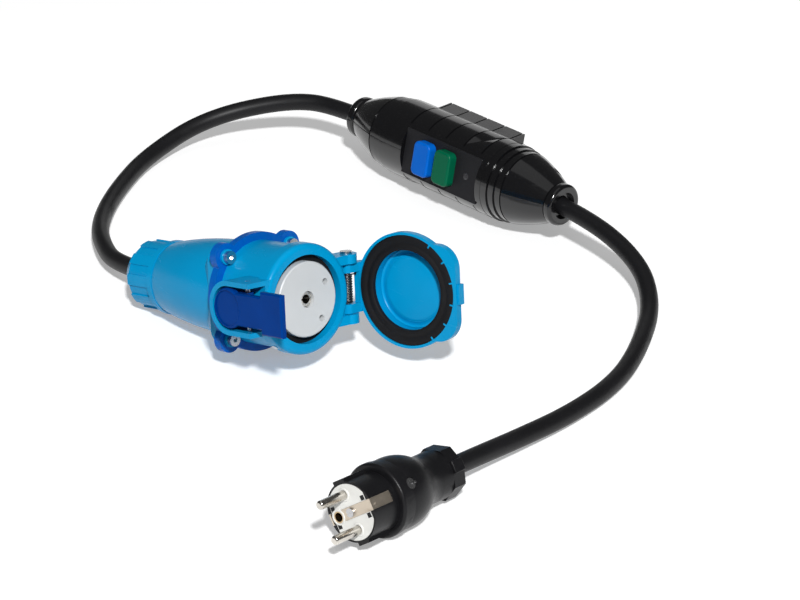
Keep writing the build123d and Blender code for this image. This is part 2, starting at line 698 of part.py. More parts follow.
def make_hinge_spring():
    """The visible coil on the hinge pin, with a leg to the housing and a short one to the lid."""
    base = -SPRING_TURNS * SPRING_PITCH / 2
    quarter_rise = SPRING_PITCH / 4
    bow = math.hypot(SPRING_RADIUS, quarter_rise)
    path = [Line((SPRING_RADIUS, SPRING_FOOT_Y - HINGE_Y, base), (SPRING_RADIUS, 0, base))]
    side = 1
    for half in range(2 * SPRING_TURNS):
        low = base + half * SPRING_PITCH / 2
        path.append(ThreePointArc((side * SPRING_RADIUS, 0, low), (0, side * bow, low + quarter_rise),
                                  (-side * SPRING_RADIUS, 0, low + 2 * quarter_rise)))
        side = -side
    path.append(Line((SPRING_RADIUS, 0, -base), (SPRING_RADIUS, SPRING_LEG, -base)))
    wire = Wire(path)
    section = Plane(origin=wire @ 0, z_dir=wire % 0) * Circle(SPRING_WIRE_RADIUS)
    return Pos(HINGE_X, HINGE_Y, 0) * sweep(section, path=wire)


def opened(shape):
    """Turn a piece of the lid from shut to open about the hinge pin."""
    return Pos(HINGE_X, HINGE_Y, 0) * Rot(0, 0, LID_OPEN) * Pos(-HINGE_X, -HINGE_Y, 0) * shape


def make_lid():
    """The lid: a rim squared on its far side, a domed back, a tab for the latch, two hinge arms and a web."""
    rim_end = LID_BACK_GAP + LID_DEPTH
    crown_end = LID_BACK_GAP + LID_CROWN_DEPTH
    far = Pos(-LID_FAR_REACH / 2, 0, 0) * RectangleRounded(LID_FAR_REACH, 2 * LID_FAR_HALF, LID_FAR_ROUND)
    lid = extrude(Plane.YZ.offset(LID_BACK_GAP) * (Circle(LID_RADIUS) + far), LID_DEPTH)
    lid = fillet(lid.faces().sort_by(Axis.X)[-1].edges(), LID_EDGE)
    middle = ((rim_end + crown_end) / 2, (LID_CROWN_FOOT + LID_CROWN_RADIUS) / 2 + LID_CROWN_BULGE)
    lid += turned(Line((LID_BACK_GAP, 0), (LID_BACK_GAP, LID_CROWN_FOOT)),
                  Line((LID_BACK_GAP, LID_CROWN_FOOT), (rim_end - LID_EDGE, LID_CROWN_FOOT)),
                  ThreePointArc((rim_end - LID_EDGE, LID_CROWN_FOOT), middle, (crown_end, LID_CROWN_RADIUS)),
                  Line((crown_end, LID_CROWN_RADIUS), (crown_end, 0)),
                  Line((crown_end, 0), (LID_BACK_GAP, 0)))
    lid += block(rim_end - LID_TAB_LENGTH, rim_end, -LID_TAB_REACH, -LID_FAR_REACH + LID_FAR_ROUND / 2,
                 -LID_TAB_HALF, LID_TAB_HALF)
    arm = make_hull([Pos(HINGE_X, HINGE_Y) * Edge.make_circle(KNUCKLE_RADIUS),
                     Pos(ARM_END_X, ARM_END_Y) * Edge.make_circle(ARM_END_RADIUS)])
    for low in (ARM_INNER, -ARM_INNER - ARM_THICKNESS):
        lid += extrude(Plane.XY.offset(low) * arm, ARM_THICKNESS)
    web_half = ARM_INNER + ARM_THICKNESS / 2
    lid += block(WEB_BACK, ARM_END_X, LID_GASKET_RADIUS, WEB_TOP, -web_half, web_half)
    lid -= rod(LID_GASKET_RADIUS + SLIP, 0, LID_BACK_GAP + LID_GASKET_LENGTH)
    lid -= rod(LID_RECESS_RADIUS, 0, LID_BACK_GAP + LID_RECESS_DEPTH)
    lid += rod(LID_DISC_RADIUS, LID_BACK_GAP + LID_RECESS_DEPTH - LID_DISC_STEP, crown_end - LID_EDGE)
    lid -= upright(HINGE_PIN_RADIUS + RUNNING, HINGE_X, HINGE_Y, -EAR_OUTER, EAR_OUTER)
    return opened(lid)


def make_lid_gasket():
    """The flat black ring in the lid."""
    return opened(tube(LID_GASKET_RADIUS, LID_RECESS_RADIUS, LID_BACK_GAP, LID_BACK_GAP + LID_GASKET_LENGTH))


def casing_section(inset):
    """The middle of the casing in section: a round body with a ridge on top and one below, at the back."""
    rise = (BLOCK_REACH - BLOCK_START) * math.tan(math.radians(BOX_TILT))
    top = BLOCK_TOP - inset
    ridges = Polyline((BLOCK_START, rise - top), (BLOCK_REACH - inset, -top), (BLOCK_REACH - inset, top),
                      (BLOCK_START, top - rise), (BLOCK_START, rise - top))
    return Circle(BOX_RADIUS - inset) + make_face(ridges)


def cone_profile(inset, close_in):
    """Half outline of the casing from its left neck to its right neck, as edges."""
    neck = NECK_RADIUS - inset
    top = BOX_RADIUS - inset
    left_end = -BOX_HALF_LENGTH + RING_LENGTH + close_in
    right_end = BOX_HALF_LENGTH - RING_LENGTH - close_in
    low = BAND_RADIUS - BAND_COUNT * BAND_STEP - inset
    left_middle = ((left_end + LEFT_CONE_X) / 2, (neck + low) / 2 + CONE_BULGE)
    right_middle = ((right_end + RIGHT_CONE_X) / 2, (neck + low) / 2 + CONE_BULGE)
    left = [(LEFT_CONE_X, low)]
    right = [(RIGHT_CONE_X, low)]
    for number in range(1, BAND_COUNT + 1):
        left_x = LEFT_CONE_X + number * (LEFT_BODY_X - LEFT_CONE_X) / BAND_COUNT
        right_x = RIGHT_CONE_X + number * (RIGHT_BODY_X - RIGHT_CONE_X) / BAND_COUNT
        radius = low + number * BAND_STEP
        left += [(left_x, radius - BAND_STEP), (left_x, radius)]
        right += [(right_x, radius - BAND_STEP), (right_x, radius)]
    left += [(LEFT_BODY_X, top)]
    right += [(RIGHT_BODY_X, top)]
    right.reverse()
    return [Line((left_end, 0), (left_end, neck)),
            ThreePointArc((left_end, neck), left_middle, (LEFT_CONE_X, low)),
            Polyline(*left, *right),
            ThreePointArc((RIGHT_CONE_X, low), right_middle, (right_end, neck)),
            Line((right_end, neck), (right_end, 0)),
            Line((right_end, 0), (left_end, 0))]


def groove_cuts():
    """The narrow grooves round the middle of the casing, but for its foot, and between its end bands."""
    cuts = None
    reach = 2 * BOX_RADIUS
    first = BLOCK_CENTRE_X - (BLOCK_GROOVE_COUNT - 1) * BLOCK_GROOVE_PITCH / 2
    for number in range(BLOCK_GROOVE_COUNT):
        plane = Plane.YZ.offset(first + number * BLOCK_GROOVE_PITCH - BLOCK_GROOVE / 2)
        foot = Pos(BLOCK_REACH, -BLOCK_TOP) * Rectangle(2 * FOOT_KEEP, 2 * FOOT_KEEP)
        ring = plane * (Circle(reach) - casing_section(BLOCK_GROOVE_DEPTH) - foot)
        cut = extrude(ring, BLOCK_GROOVE)
        cuts = cut if cuts is None else cuts + cut
    low = BAND_RADIUS - BAND_COUNT * BAND_STEP
    for cone_x, body_x in ((LEFT_CONE_X, LEFT_BODY_X), (RIGHT_CONE_X, RIGHT_BODY_X)):
        for number in range(BAND_COUNT + 1):
            x = cone_x + number * (body_x - cone_x) / BAND_COUNT
            radius = low + number * BAND_STEP - BAND_GROOVE_DEPTH
            cuts += tube(reach, radius, x - BAND_GROOVE / 2, x + BAND_GROOVE / 2)
    return cuts


def panel_block(clear, back):
    """A block as long and as high as the panel, from outside the casing inwards."""
    half = PANEL_LENGTH / 2 + clear
    height = PANEL_HEIGHT / 2 + clear
    return block(PANEL_X - half, PANEL_X + half, -2 * BOX_RADIUS, back, -height, height)


def case_screw_places():
    """The two screws in the cones, one in each."""
    return [(-CASE_SCREW_X, CASE_SCREW_OFFSET), (CASE_SCREW_X, CASE_SCREW_OFFSET)]


def make_casing():
    """The whole casing, hollow, before it is parted into its two shells."""
    casing = turned(*cone_profile(0, 0))
    start = BLOCK_CENTRE_X - BLOCK_LENGTH / 2
    casing += extrude(Plane.YZ.offset(start) * casing_section(0), BLOCK_LENGTH)
    casing -= groove_cuts()
    casing -= turned(*cone_profile(CASING_WALL, CASING_WALL))
    seat = -PANEL_DEPTH + PANEL_THICKNESS
    ledge = panel_block(PANEL_LEDGE, seat + PANEL_LEDGE) & turned(*cone_profile(0, 0))
    casing += ledge
    casing -= panel_block(SLIP, seat)
    casing -= panel_block(-PANEL_LEDGE, seat + PANEL_LEDGE + OVERRUN)
    casing -= rod(RING_SPIGOT_RADIUS, -BOX_HALF_LENGTH, -BOX_HALF_LENGTH + RING_LENGTH + RING_SPIGOT_LENGTH)
    casing -= rod(RING_SPIGOT_RADIUS, BOX_HALF_LENGTH - RING_LENGTH - RING_SPIGOT_LENGTH, BOX_HALF_LENGTH)
    whole = 2 * BOX_RADIUS
    for x, y in case_screw_places():
        post = upright(CASE_POST_RADIUS, x, y, -CASE_SCREW_HEAD_Z - SLIP, CASE_SCREW_HEAD_Z)
        casing += post & turned(*cone_profile(0, 0))
        casing -= upright(CASE_SCREW_WELL, x, y, CASE_SCREW_HEAD_Z, whole)
        casing -= upright(CASE_SCREW_RADIUS + RUNNING, x, y, CASE_SCREW_HEAD_Z - CASE_SCREW_LENGTH, whole)
    return casing


def box_axis_height():
    """Height of the casing's axis over the table when it lies on the edge of its lower ridge."""
    tilt = math.radians(BOX_TILT)
    return BLOCK_REACH * math.sin(tilt) + BLOCK_TOP * math.cos(tilt) - FOOT_DEPTH


def box_axis_back():
    """How far the middle of the foot stands behind the casing's axis."""
    tilt = math.radians(BOX_TILT)
    corner = BLOCK_REACH * math.cos(tilt) - BLOCK_TOP * math.sin(tilt)
    return corner + (FOOT_DEPTH * math.tan(tilt) - FOOT_DEPTH / math.tan(2 * tilt)) / 2


def box_place():
    """Where the box stands: its axis over the table, leaning back by its tilt."""
    leaning = Pos(-BLOCK_CENTRE_X, -box_axis_back(), box_axis_height()) * Rot(-BOX_TILT, 0, 0)
    return Rot(0, 0, BOX_HEADING) * leaning


def make_shell(side):
    """One half of the casing, above the parting plane for side 1 and below it for side -1."""
    casing = make_casing()
    reach = 2 * BOX_HALF_LENGTH
    low, high = sorted((0, side * reach))
    half = block(-reach, reach, -reach, reach, low, high)
    shell = casing & half
    if side < 0:
        floor = box_place().inverse() * block(-reach, reach, -reach, reach, -reach, 0)
        shell -= floor
    return shell


def button_outline(clear):
    """A button's outline, made larger all round by a clearance."""
    return RectangleRounded(BUTTON_LENGTH + 2 * clear, BUTTON_HEIGHT + 2 * clear, BUTTON_ROUND)


def make_panel_plate():
    """The flat dark plate behind the buttons, with a window for each button and the indicator."""
    half = PANEL_LENGTH / 2
    height = PANEL_HEIGHT / 2
    plate = block(PANEL_X - half, PANEL_X + half, -PANEL_DEPTH, -PANEL_DEPTH + PANEL_THICKNESS,
                  -height, height)
    behind = Plane.XZ.offset(PANEL_DEPTH - PANEL_THICKNESS - OVERRUN)
    window = button_outline(BUTTON_GAP)
    for x in (TEST_X, RESET_X):
        plate -= extrude(behind * Pos(x, 0, 0) * window, PANEL_THICKNESS + 2 * OVERRUN)
    light_hole = Rot(90, 0, 0) * Cylinder(INDICATOR_RADIUS, 2 * INDICATOR_LENGTH)
    plate -= Pos(INDICATOR_X, -PANEL_DEPTH, 0) * light_hole
    return plate


def make_button(x):
    """A push button with a retaining flange behind the panel."""
    face = button_outline(0)
    back = PANEL_DEPTH - PANEL_THICKNESS - BUTTON_GAP - BUTTON_FLANGE_LENGTH
    top = PANEL_DEPTH + BUTTON_PROUD
    button = extrude(Plane.XZ.offset(back) * Pos(x, 0, 0) * face, top - back)
    button = fillet(button.faces().sort_by(Axis.Y)[0].edges(), BUTTON_EDGE)
    skirt = button_outline(BUTTON_FLANGE)
    button += extrude(Plane.XZ.offset(back) * Pos(x, 0, 0) * skirt, BUTTON_FLANGE_LENGTH)
    return button


def make_button_spring(x):
    """The spring behind a button, as a plain sleeve on the circuit board."""
    back = PANEL_DEPTH - PANEL_THICKNESS - BUTTON_GAP - BUTTON_FLANGE_LENGTH
    front = back - BUTTON_TRAVEL - BUTTON_SPRING_GAP
    ring = Circle(BUTTON_SPRING_RADIUS) - Circle(BUTTON_SPRING_RADIUS - BUTTON_SPRING_WALL)
    return extrude(Plane.XZ.offset(-BOARD_Y) * Pos(x, 0, 0) * ring, front + BOARD_Y)


def make_indicator():
    """The small round light pipe in the panel."""
    return Pos(INDICATOR_X, -PANEL_DEPTH + INDICATOR_LENGTH / 2, 0) * Rot(90, 0, 0) * Cylinder(
        INDICATOR_RADIUS - RUNNING, INDICATOR_LENGTH)


def make_circuit_board():
    """The board that carries the buttons' switches, the relay and the terminals."""
    middle = BOARD_CENTRE_X
    return block(middle - BOARD_LENGTH / 2, middle + BOARD_LENGTH / 2, BOARD_Y, BOARD_Y + BOARD_THICKNESS,
                 -BOARD_HEIGHT / 2, BOARD_HEIGHT / 2)


def make_transformer():
    """The ring-shaped current transformer that senses a leak to earth."""
    back = BOARD_Y + BOARD_THICKNESS + BOARD_SEAT
    ring = Circle(TRANSFORMER_RADIUS) - Circle(TRANSFORMER_HOLE)
    return extrude(Plane.XZ.offset(-back - TRANSFORMER_LENGTH) * Pos(TRANSFORMER_X, 0, 0) * ring,
                   TRANSFORMER_LENGTH)


def make_relay():
    """The tripping relay."""
    back = BOARD_Y + BOARD_THICKNESS + BOARD_SEAT
    return block(RELAY_X - RELAY_LENGTH / 2, RELAY_X + RELAY_LENGTH / 2, back, back + RELAY_DEPTH,
                 -RELAY_HEIGHT / 2, RELAY_HEIGHT / 2)


def make_terminal(x):
    """A terminal block for the cable's cores, with three screw holes."""
    back = BOARD_Y + BOARD_THICKNESS + BOARD_SEAT
    terminal = block(x - TERMINAL_LENGTH / 2, x + TERMINAL_LENGTH / 2, back, back + TERMINAL_DEPTH,
                     -TERMINAL_HEIGHT / 2, TERMINAL_HEIGHT / 2)
    for step in (-1, 0, 1):
        mouth = Pos(x, back + TERMINAL_DEPTH, step * TERMINAL_PITCH)
        terminal -= mouth * Rot(90, 0, 0) * Cylinder(TERMINAL_HOLE, TERMINAL_DEPTH)
    return terminal


def make_end_ring(side):
    """The rounded ring at one end of the box, with a spigot that the two shells close on."""
    inner = BOX_HALF_LENGTH - RING_LENGTH
    ring = rod(RING_RADIUS, inner, BOX_HALF_LENGTH)
    ring = fillet(hoops(ring, BOX_HALF_LENGTH, RING_RADIUS) + hoops(ring, inner, RING_RADIUS), RING_ROUND)
    ring += rod(RING_SPIGOT_RADIUS - SLIP, inner - RING_SPIGOT_LENGTH + SLIP, inner + RING_ROUND)
    ring -= rod(CABLE_RADIUS + SOFT_GAP, inner - RING_SPIGOT_LENGTH - OVERRUN, BOX_HALF_LENGTH + OVERRUN)
    ring -= rod(RING_MOUTH, BOX_HALF_LENGTH - RING_MOUTH_DEPTH, BOX_HALF_LENGTH + OVERRUN)
    return ring if side > 0 else Rot(0, 0, 180) * ring


def make_cable_clamp(side):
    """The saddle inside a cone that grips the cable's sheath."""
    clamp = tube(CLAMP_RADIUS, CABLE_RADIUS, CLAMP_X - CLAMP_LENGTH / 2, CLAMP_X + CLAMP_LENGTH / 2)
    return clamp if side > 0 else Rot(0, 0, 180) * clamp


def make_casing_screws():
    """The two screws that close the casing."""
    screws = None
    for x, y in case_screw_places():
        screw = upright(CASE_SCREW_RADIUS, x, y, CASE_SCREW_HEAD_Z - CASE_SCREW_LENGTH, CASE_SCREW_HEAD_Z)
        head = upright(CASE_SCREW_HEAD, x, y, CASE_SCREW_HEAD_Z, CASE_SCREW_HEAD_Z + CASE_SCREW_HEAD_LENGTH)
        screws = screw + head if screws is None else screws + screw + head
    return screws


def face_outline(clear):
    """The plug face's outline: a circle with two flattened sides."""
    return Circle(FACE_RADIUS + clear) & Rectangle(2 * (FACE_HALF + clear), 2 * (FACE_RADIUS + OVERRUN))


def make_plug_sleeve():
    """The plug's dark front sleeve with a guide rib at each end of the pin line."""
    sleeve = rod(SLEEVE_RADIUS, -SLEEVE_LENGTH, 0)
    for side in (1, -1):
        low, high = sorted((side * FACE_RADIUS, side * RIB_REACH))
        sleeve += block(-RIB_LENGTH, 0, -RIB_HALF, RIB_HALF, low, high)
    behind = Plane.YZ.offset(-SLEEVE_LENGTH - OVERRUN)
    sleeve -= extrude(behind * face_outline(SLIP), SLEEVE_LENGTH + 2 * OVERRUN)
    for side in (1, -1):
        low, high = sorted((side * FACE_HALF, side * (SLEEVE_RADIUS + OVERRUN)))
        sleeve -= block(-STRIP_LENGTH - SLIP, OVERRUN, low, high, -STRIP_HALF - SLIP, STRIP_HALF + SLIP)
    return sleeve


def make_face_insert():
    """The plug's white face, with holes for the pins, the earth tube and the middle screw."""
    insert = extrude(Plane.YZ.offset(-FACE_LENGTH) * face_outline(0), FACE_LENGTH)
    pin_hole = rod(PIN_SHANK_RADIUS + RUNNING, -FACE_LENGTH - OVERRUN, OVERRUN)
    for side in (1, -1):
        insert -= Pos(0, 0, side * PIN_SPACING / 2) * pin_hole
    insert -= Pos(0, -EARTH_OFFSET, 0) * rod(EARTH_TUBE_RADIUS + RUNNING, -FACE_LENGTH - OVERRUN, OVERRUN)
    insert -= rod(FACE_SCREW_RADIUS + RUNNING, -FACE_LENGTH - OVERRUN, OVERRUN)
    insert -= block(-STRIP_THICKNESS, OVERRUN, -STRIP_END, FACE_RADIUS + OVERRUN, -STRIP_HALF - SLIP,
                    STRIP_HALF + SLIP)
    return insert


def make_pin(side):
    """A round contact pin with a domed tip and a thinner shank through the face."""
    pin = rod(PIN_RADIUS, PIN_ROOT, PIN_LENGTH)
    pin = fillet(hoops(pin, PIN_LENGTH, PIN_RADIUS), PIN_TIP_ROUND)
    pin += rod(PIN_SHANK_RADIUS, -PIN_SHANK, PIN_ROOT)
    return Pos(0, 0, side * PIN_SPACING / 2) * pin


def make_earth_tube():
    """The tube that takes the socket's earth pin."""
    tube_piece = rod(EARTH_TUBE_RADIUS, -EARTH_TUBE_LENGTH, 0)
    tube_piece -= rod(EARTH_TUBE_BORE, -EARTH_TUBE_LENGTH + STRIP_THICKNESS, OVERRUN)
    return Pos(0, -EARTH_OFFSET, 0) * tube_piece


def make_earth_bridge():
    """The strip from the middle screw across the face and down one side of the sleeve."""
    outer = SLEEVE_RADIUS - SIDE_STRIP_SINK
    bridge = block(-STRIP_THICKNESS, 0, -STRIP_END + SLIP, outer, -STRIP_HALF, STRIP_HALF)
    bridge += block(-STRIP_LENGTH, 0, outer - STRIP_THICKNESS, outer, -STRIP_HALF, STRIP_HALF)
    bridge -= rod(FACE_SCREW_RADIUS + RUNNING, -OVERRUN, OVERRUN)
    return bridge


def make_earth_side_strip():
    """The second earth strip, on the sleeve's other side."""
    outer = SLEEVE_RADIUS - SIDE_STRIP_SINK
    strip = block(-STRIP_LENGTH, 0, -outer, -outer + STRIP_THICKNESS, -STRIP_HALF, STRIP_HALF)
    strip += block(-STRIP_LENGTH, -STRIP_LENGTH + STRIP_THICKNESS, -outer, -EARTH_OFFSET - EARTH_TUBE_RADIUS,
                   -STRIP_HALF, STRIP_HALF)
    return strip


def make_face_screw():
    """The screw in the middle of the face."""
    screw = rod(FACE_SCREW_RADIUS, -FACE_SCREW_LENGTH, 0)
    screw += rod(FACE_SCREW_HEAD, 0, FACE_SCREW_HEAD_LENGTH)
    screw -= block(FACE_SCREW_HEAD_LENGTH / 2, FACE_SCREW_HEAD_LENGTH + OVERRUN, -FACE_SCREW_HEAD,
                   FACE_SCREW_HEAD, -FACE_SCREW_SLOT / 2, FACE_SCREW_SLOT / 2)
    return screw


def body_screw_place():
    """The body screw's place and direction, square to the plug's axis."""
    return Rot(BODY_SCREW_ANGLE, 0, 0) * Pos(-BODY_SCREW_X, BULB_RADIUS, 0) * Rot(-90, 0, 0)


def make_plug_body():
    """The plug's rubber rear body: a collar, a band, a bulb and a waisted neck."""
    bulb_end = BULB_START - BULB_LENGTH
    bulb_middle = ((BULB_START + bulb_end) / 2, (BULB_RADIUS + BULB_END_RADIUS) / 2 + BULB_SWELL)
    waist_middle = ((bulb_end + BODY_END) / 2, (BULB_END_RADIUS + PLUG_NECK_RADIUS) / 2 - WAIST_DIP)
    body = turned(Polyline((-SLEEVE_LENGTH, 0), (-SLEEVE_LENGTH, COLLAR_RADIUS),
                           (COLLAR_REAR, COLLAR_RADIUS), (COLLAR_REAR, PLUG_BAND_RADIUS),
                           (BULB_START, PLUG_BAND_RADIUS), (BULB_START, BULB_RADIUS)),
                  ThreePointArc((BULB_START, BULB_RADIUS), bulb_middle, (bulb_end, BULB_END_RADIUS)),
                  ThreePointArc((bulb_end, BULB_END_RADIUS), waist_middle, (BODY_END, PLUG_NECK_RADIUS)),
                  Polyline((BODY_END, PLUG_NECK_RADIUS), (BODY_END, 0), (-SLEEVE_LENGTH, 0)))
    body = fillet(hoops(body, -SLEEVE_LENGTH, COLLAR_RADIUS), COLLAR_ROUND)
    body -= turned(Polyline((-SLEEVE_LENGTH + OVERRUN, 0), (-SLEEVE_LENGTH + OVERRUN, FACE_RADIUS),
                            (BULB_START, BULB_RADIUS - PLUG_WALL), (bulb_end, BULB_END_RADIUS - PLUG_WALL),
                            (BODY_END, PLUG_NUT_BORE), (BODY_END - OVERRUN, PLUG_NUT_BORE),
                            (BODY_END - OVERRUN, 0), (-SLEEVE_LENGTH + OVERRUN, 0)))
    body -= body_screw_place() * Cylinder(BODY_SCREW_WELL, 2 * BODY_SCREW_HEAD_LENGTH)
    body -= body_screw_place() * Pos(0, 0, -BODY_SCREW_LENGTH) * Cylinder(
        BODY_SCREW_RADIUS + RUNNING, 2 * BODY_SCREW_LENGTH)
    return body


def make_body_screw():
    """The bright screw in the side of the plug's body."""
    head = Pos(0, 0, -BODY_SCREW_HEAD_LENGTH / 2) * Cylinder(BODY_SCREW_HEAD, BODY_SCREW_HEAD_LENGTH)
    slot = Box(2 * BODY_SCREW_HEAD, BODY_SCREW_SLOT, BODY_SCREW_HEAD_LENGTH)
    middle = -BODY_SCREW_HEAD_LENGTH - BODY_SCREW_LENGTH / 2
    shank = Pos(0, 0, middle) * Cylinder(BODY_SCREW_RADIUS, BODY_SCREW_LENGTH)
    return body_screw_place() * (head + shank - slot)


def make_plug_nut():
    """The nut that grips the plug's cable: a cone that runs into a faceted head."""
    head_start = PLUG_NUT_END + PLUG_NUT_HEAD
    facets = RegularPolygon(PLUG_NUT_RADIUS, PLUG_NUT_SIDES)
    nut = extrude(Plane.YZ.offset(PLUG_NUT_END) * facets, PLUG_NUT_HEAD)
    nut += turned(Polyline((head_start - OVERRUN, 0), (head_start - OVERRUN, PLUG_NUT_SHOULDER),
                           (head_start, PLUG_NUT_SHOULDER), (BODY_END, PLUG_NUT_FOOT), (BODY_END, 0),
                           (head_start - OVERRUN, 0)))
    nut -= rod(CABLE_RADIUS + SOFT_GAP, PLUG_NUT_END - OVERRUN, BODY_END + OVERRUN)
    nut -= rod(PLUG_NUT_BORE, PLUG_NUT_END + PLUG_NUT_MOUTH, BODY_END + OVERRUN)
    return nut


def make_plug_seal():
    """The rubber bush inside the plug's nut."""
    start = PLUG_NUT_END + PLUG_NUT_MOUTH
    return tube(PLUG_NUT_BORE - SLIP, CABLE_RADIUS, start, start + PLUG_SEAL_LENGTH)


def coupler_place():
    """Where the coupler lies: its gland nut on the table, its mouth tilted up, rolled a little."""
    tilt = math.radians(COUPLER_TILT)
    nose = NUT_END + NUT_NOSE_LENGTH
    height = NUT_RIB_RADIUS * math.cos(tilt) - nose * math.sin(tilt)
    return Pos(COUPLER_FACE_X, COUPLER_FACE_Y, height) * Rot(0, -COUPLER_TILT, 0) * Rot(COUPLER_ROLL, 0, 0)


def plug_place():
    """Where the plug lies: on its collar and the corner of its nut."""
    tilt = math.radians(PLUG_TILT)
    height = COLLAR_RADIUS * math.cos(tilt) - COLLAR_REAR * math.sin(tilt)
    return (Pos(PLUG_FACE_X, PLUG_FACE_Y, height) * Rot(0, 0, PLUG_HEADING) * Rot(0, -PLUG_TILT, 0)
            * Rot(PLUG_ROLL, 0, 0))


def place_point(place, x):
    """A point on a placed assembly's axis."""
    return (place * Pos(x, 0, 0)).position


def route_radii(points):
    """The radius at each corner of a route, as large as its shorter run allows."""
    radii = []
    for before, here, after in zip(points, points[1:], points[2:]):
        run_in = here - before
        run_out = after - here
        turn = math.radians(run_in.get_angle(run_out))
        shorter = min(run_in.length, run_out.length)
        radii.append(ROUTE_RADIUS_SHARE * shorter / math.tan(turn / 2))
    return radii


def make_cord(start, route, end, name):
    """A round cable along straight runs joined by tangent arcs."""
    points = start + [Vector(*point) for point in route] + end
    radii = route_radii(points)
    path = FilletPolyline(*points, radius=radii)
    section = Plane(origin=path @ 0, z_dir=path % 0) * Circle(CABLE_RADIUS)
    cord = sweep(section, path=path)
    runs = [(b - a).length for a, b in zip(points, points[1:])]
    expected = math.pi * CABLE_RADIUS ** 2 * path.length
    print(name, "length", round(path.length, 1), "volume share", round(cord.volume / expected, 4))
    print(name, "runs", [round(run) for run in runs], "radii", [round(radius) for radius in radii])
    print(name, "points", [tuple(round(value, 1) for value in point) for point in points])
    return cord


def coupler_pieces():
    """Every piece of the coupler, by name."""
    return {
        "coupler_front_housing": make_front_housing(),
        "coupler_drain_stud": make_drain_stud(),
        "coupler_flange_gasket": make_flange_gasket(),
        "coupler_flange_screws": make_flange_screws(),
        "coupler_handle": make_handle(),
        "coupler_gland_nut": make_gland_nut(),
        "coupler_gland_seal": make_gland_seal(),
        "coupler_mouth_seal": make_mouth_seal(),
        "shutter_disc": make_shutter_disc(),
        "contact_carrier": make_contact_carrier(),
        "earth_contact": make_earth_contact(),
        "line_contact": make_contact(PORT_ANGLES[0]),
        "neutral_contact": make_contact(PORT_ANGLES[1]),
        "contact_springs": make_contact_springs(),
        "latch": make_latch(),
        "latch_pin": make_latch_pin(),
        "latch_spring": make_latch_spring(),
        "hinge_pin": make_hinge_pin(),
        "hinge_spring": make_hinge_spring(),
        "lid": make_lid(),
        "lid_gasket": make_lid_gasket(),
    }


def box_pieces():
    """Every piece of the in-line box, by name."""
    return {
        "box_upper_shell": make_shell(1),
        "box_lower_shell": make_shell(-1),
        "box_panel": make_panel_plate(),
        "test_button": make_button(TEST_X),
        "reset_button": make_button(RESET_X),
        "test_button_spring": make_button_spring(TEST_X),
        "reset_button_spring": make_button_spring(RESET_X),
        "indicator_light": make_indicator(),
        "circuit_board": make_circuit_board(),
        "current_transformer": make_transformer(),
        "trip_relay": make_relay(),
        "left_terminal_block": make_terminal(LEFT_TERMINAL_X),
        "right_terminal_block": make_terminal(RIGHT_TERMINAL_X),
        "left_end_ring": make_end_ring(-1),
        "right_end_ring": make_end_ring(1),
        "left_cable_clamp": make_cable_clamp(-1),
        "right_cable_clamp": make_cable_clamp(1),
        "casing_screws": make_casing_screws(),
    }


def plug_pieces():
    """Every piece of the plug, by name."""
    return {
        "plug_sleeve": make_plug_sleeve(),
        "plug_face": make_face_insert(),
        "line_pin": make_pin(1),
        "neutral_pin": make_pin(-1),
        "plug_earth_tube": make_earth_tube(),
        "plug_earth_bridge": make_earth_bridge(),
        "plug_earth_strip": make_earth_side_strip(),
        "plug_face_screw": make_face_screw(),
        "plug_body": make_plug_body(),
        "plug_body_screw": make_body_screw(),
        "plug_clamp_nut": make_plug_nut(),
        "plug_clamp_seal": make_plug_seal(),
    }


def cord_pieces():
    """The two lengths of cable, each straight where it leaves the box and where it enters its gland."""
    inside = CLAMP_X - CLAMP_LENGTH / 2
    outside = BOX_HALF_LENGTH + CORD_EXIT
    left_start = [place_point(box_place(), -inside), place_point(box_place(), -outside)]
    right_start = [place_point(box_place(), inside), place_point(box_place(), outside)]
    coupler_end = [place_point(coupler_place(), NUT_END - CORD_APPROACH),
                   place_point(coupler_place(), NUT_END + NUT_MOUTH_LENGTH + SEAL_LENGTH)]
    plug_end = [place_point(plug_place(), PLUG_NUT_END - CORD_APPROACH),
                place_point(plug_place(), PLUG_NUT_END + PLUG_NUT_MOUTH + PLUG_SEAL_LENGTH)]
    return {
        "coupler_cord": make_cord(left_start, LEFT_ROUTE, coupler_end, "coupler_cord"),
        "plug_cord": make_cord(right_start, RIGHT_ROUTE, plug_end, "plug_cord"),
    }


def main():
    os.makedirs("parts", exist_ok=True)
    print("hinge spring, least gap between turns", round(spring_least_gap(), 2))
    print("box axis height", round(box_axis_height(), 2), "behind", round(box_axis_back(), 2))
    groups = ((coupler_pieces(), coupler_place()), (box_pieces(), box_place()),
              (plug_pieces(), plug_place()), (cord_pieces(), Pos(0, 0, 0)))
    for pieces, place in groups:
        for name, piece in pieces.items():
            export_step(place * piece, os.path.join("parts", name + ".step"))


main()
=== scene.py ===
import json
import math

import bmesh
import bpy
from bpy.props import FloatProperty, FloatVectorProperty, IntProperty, PointerProperty
from bpy.types import Operator, Panel, PropertyGroup
from mathutils import Matrix, Vector


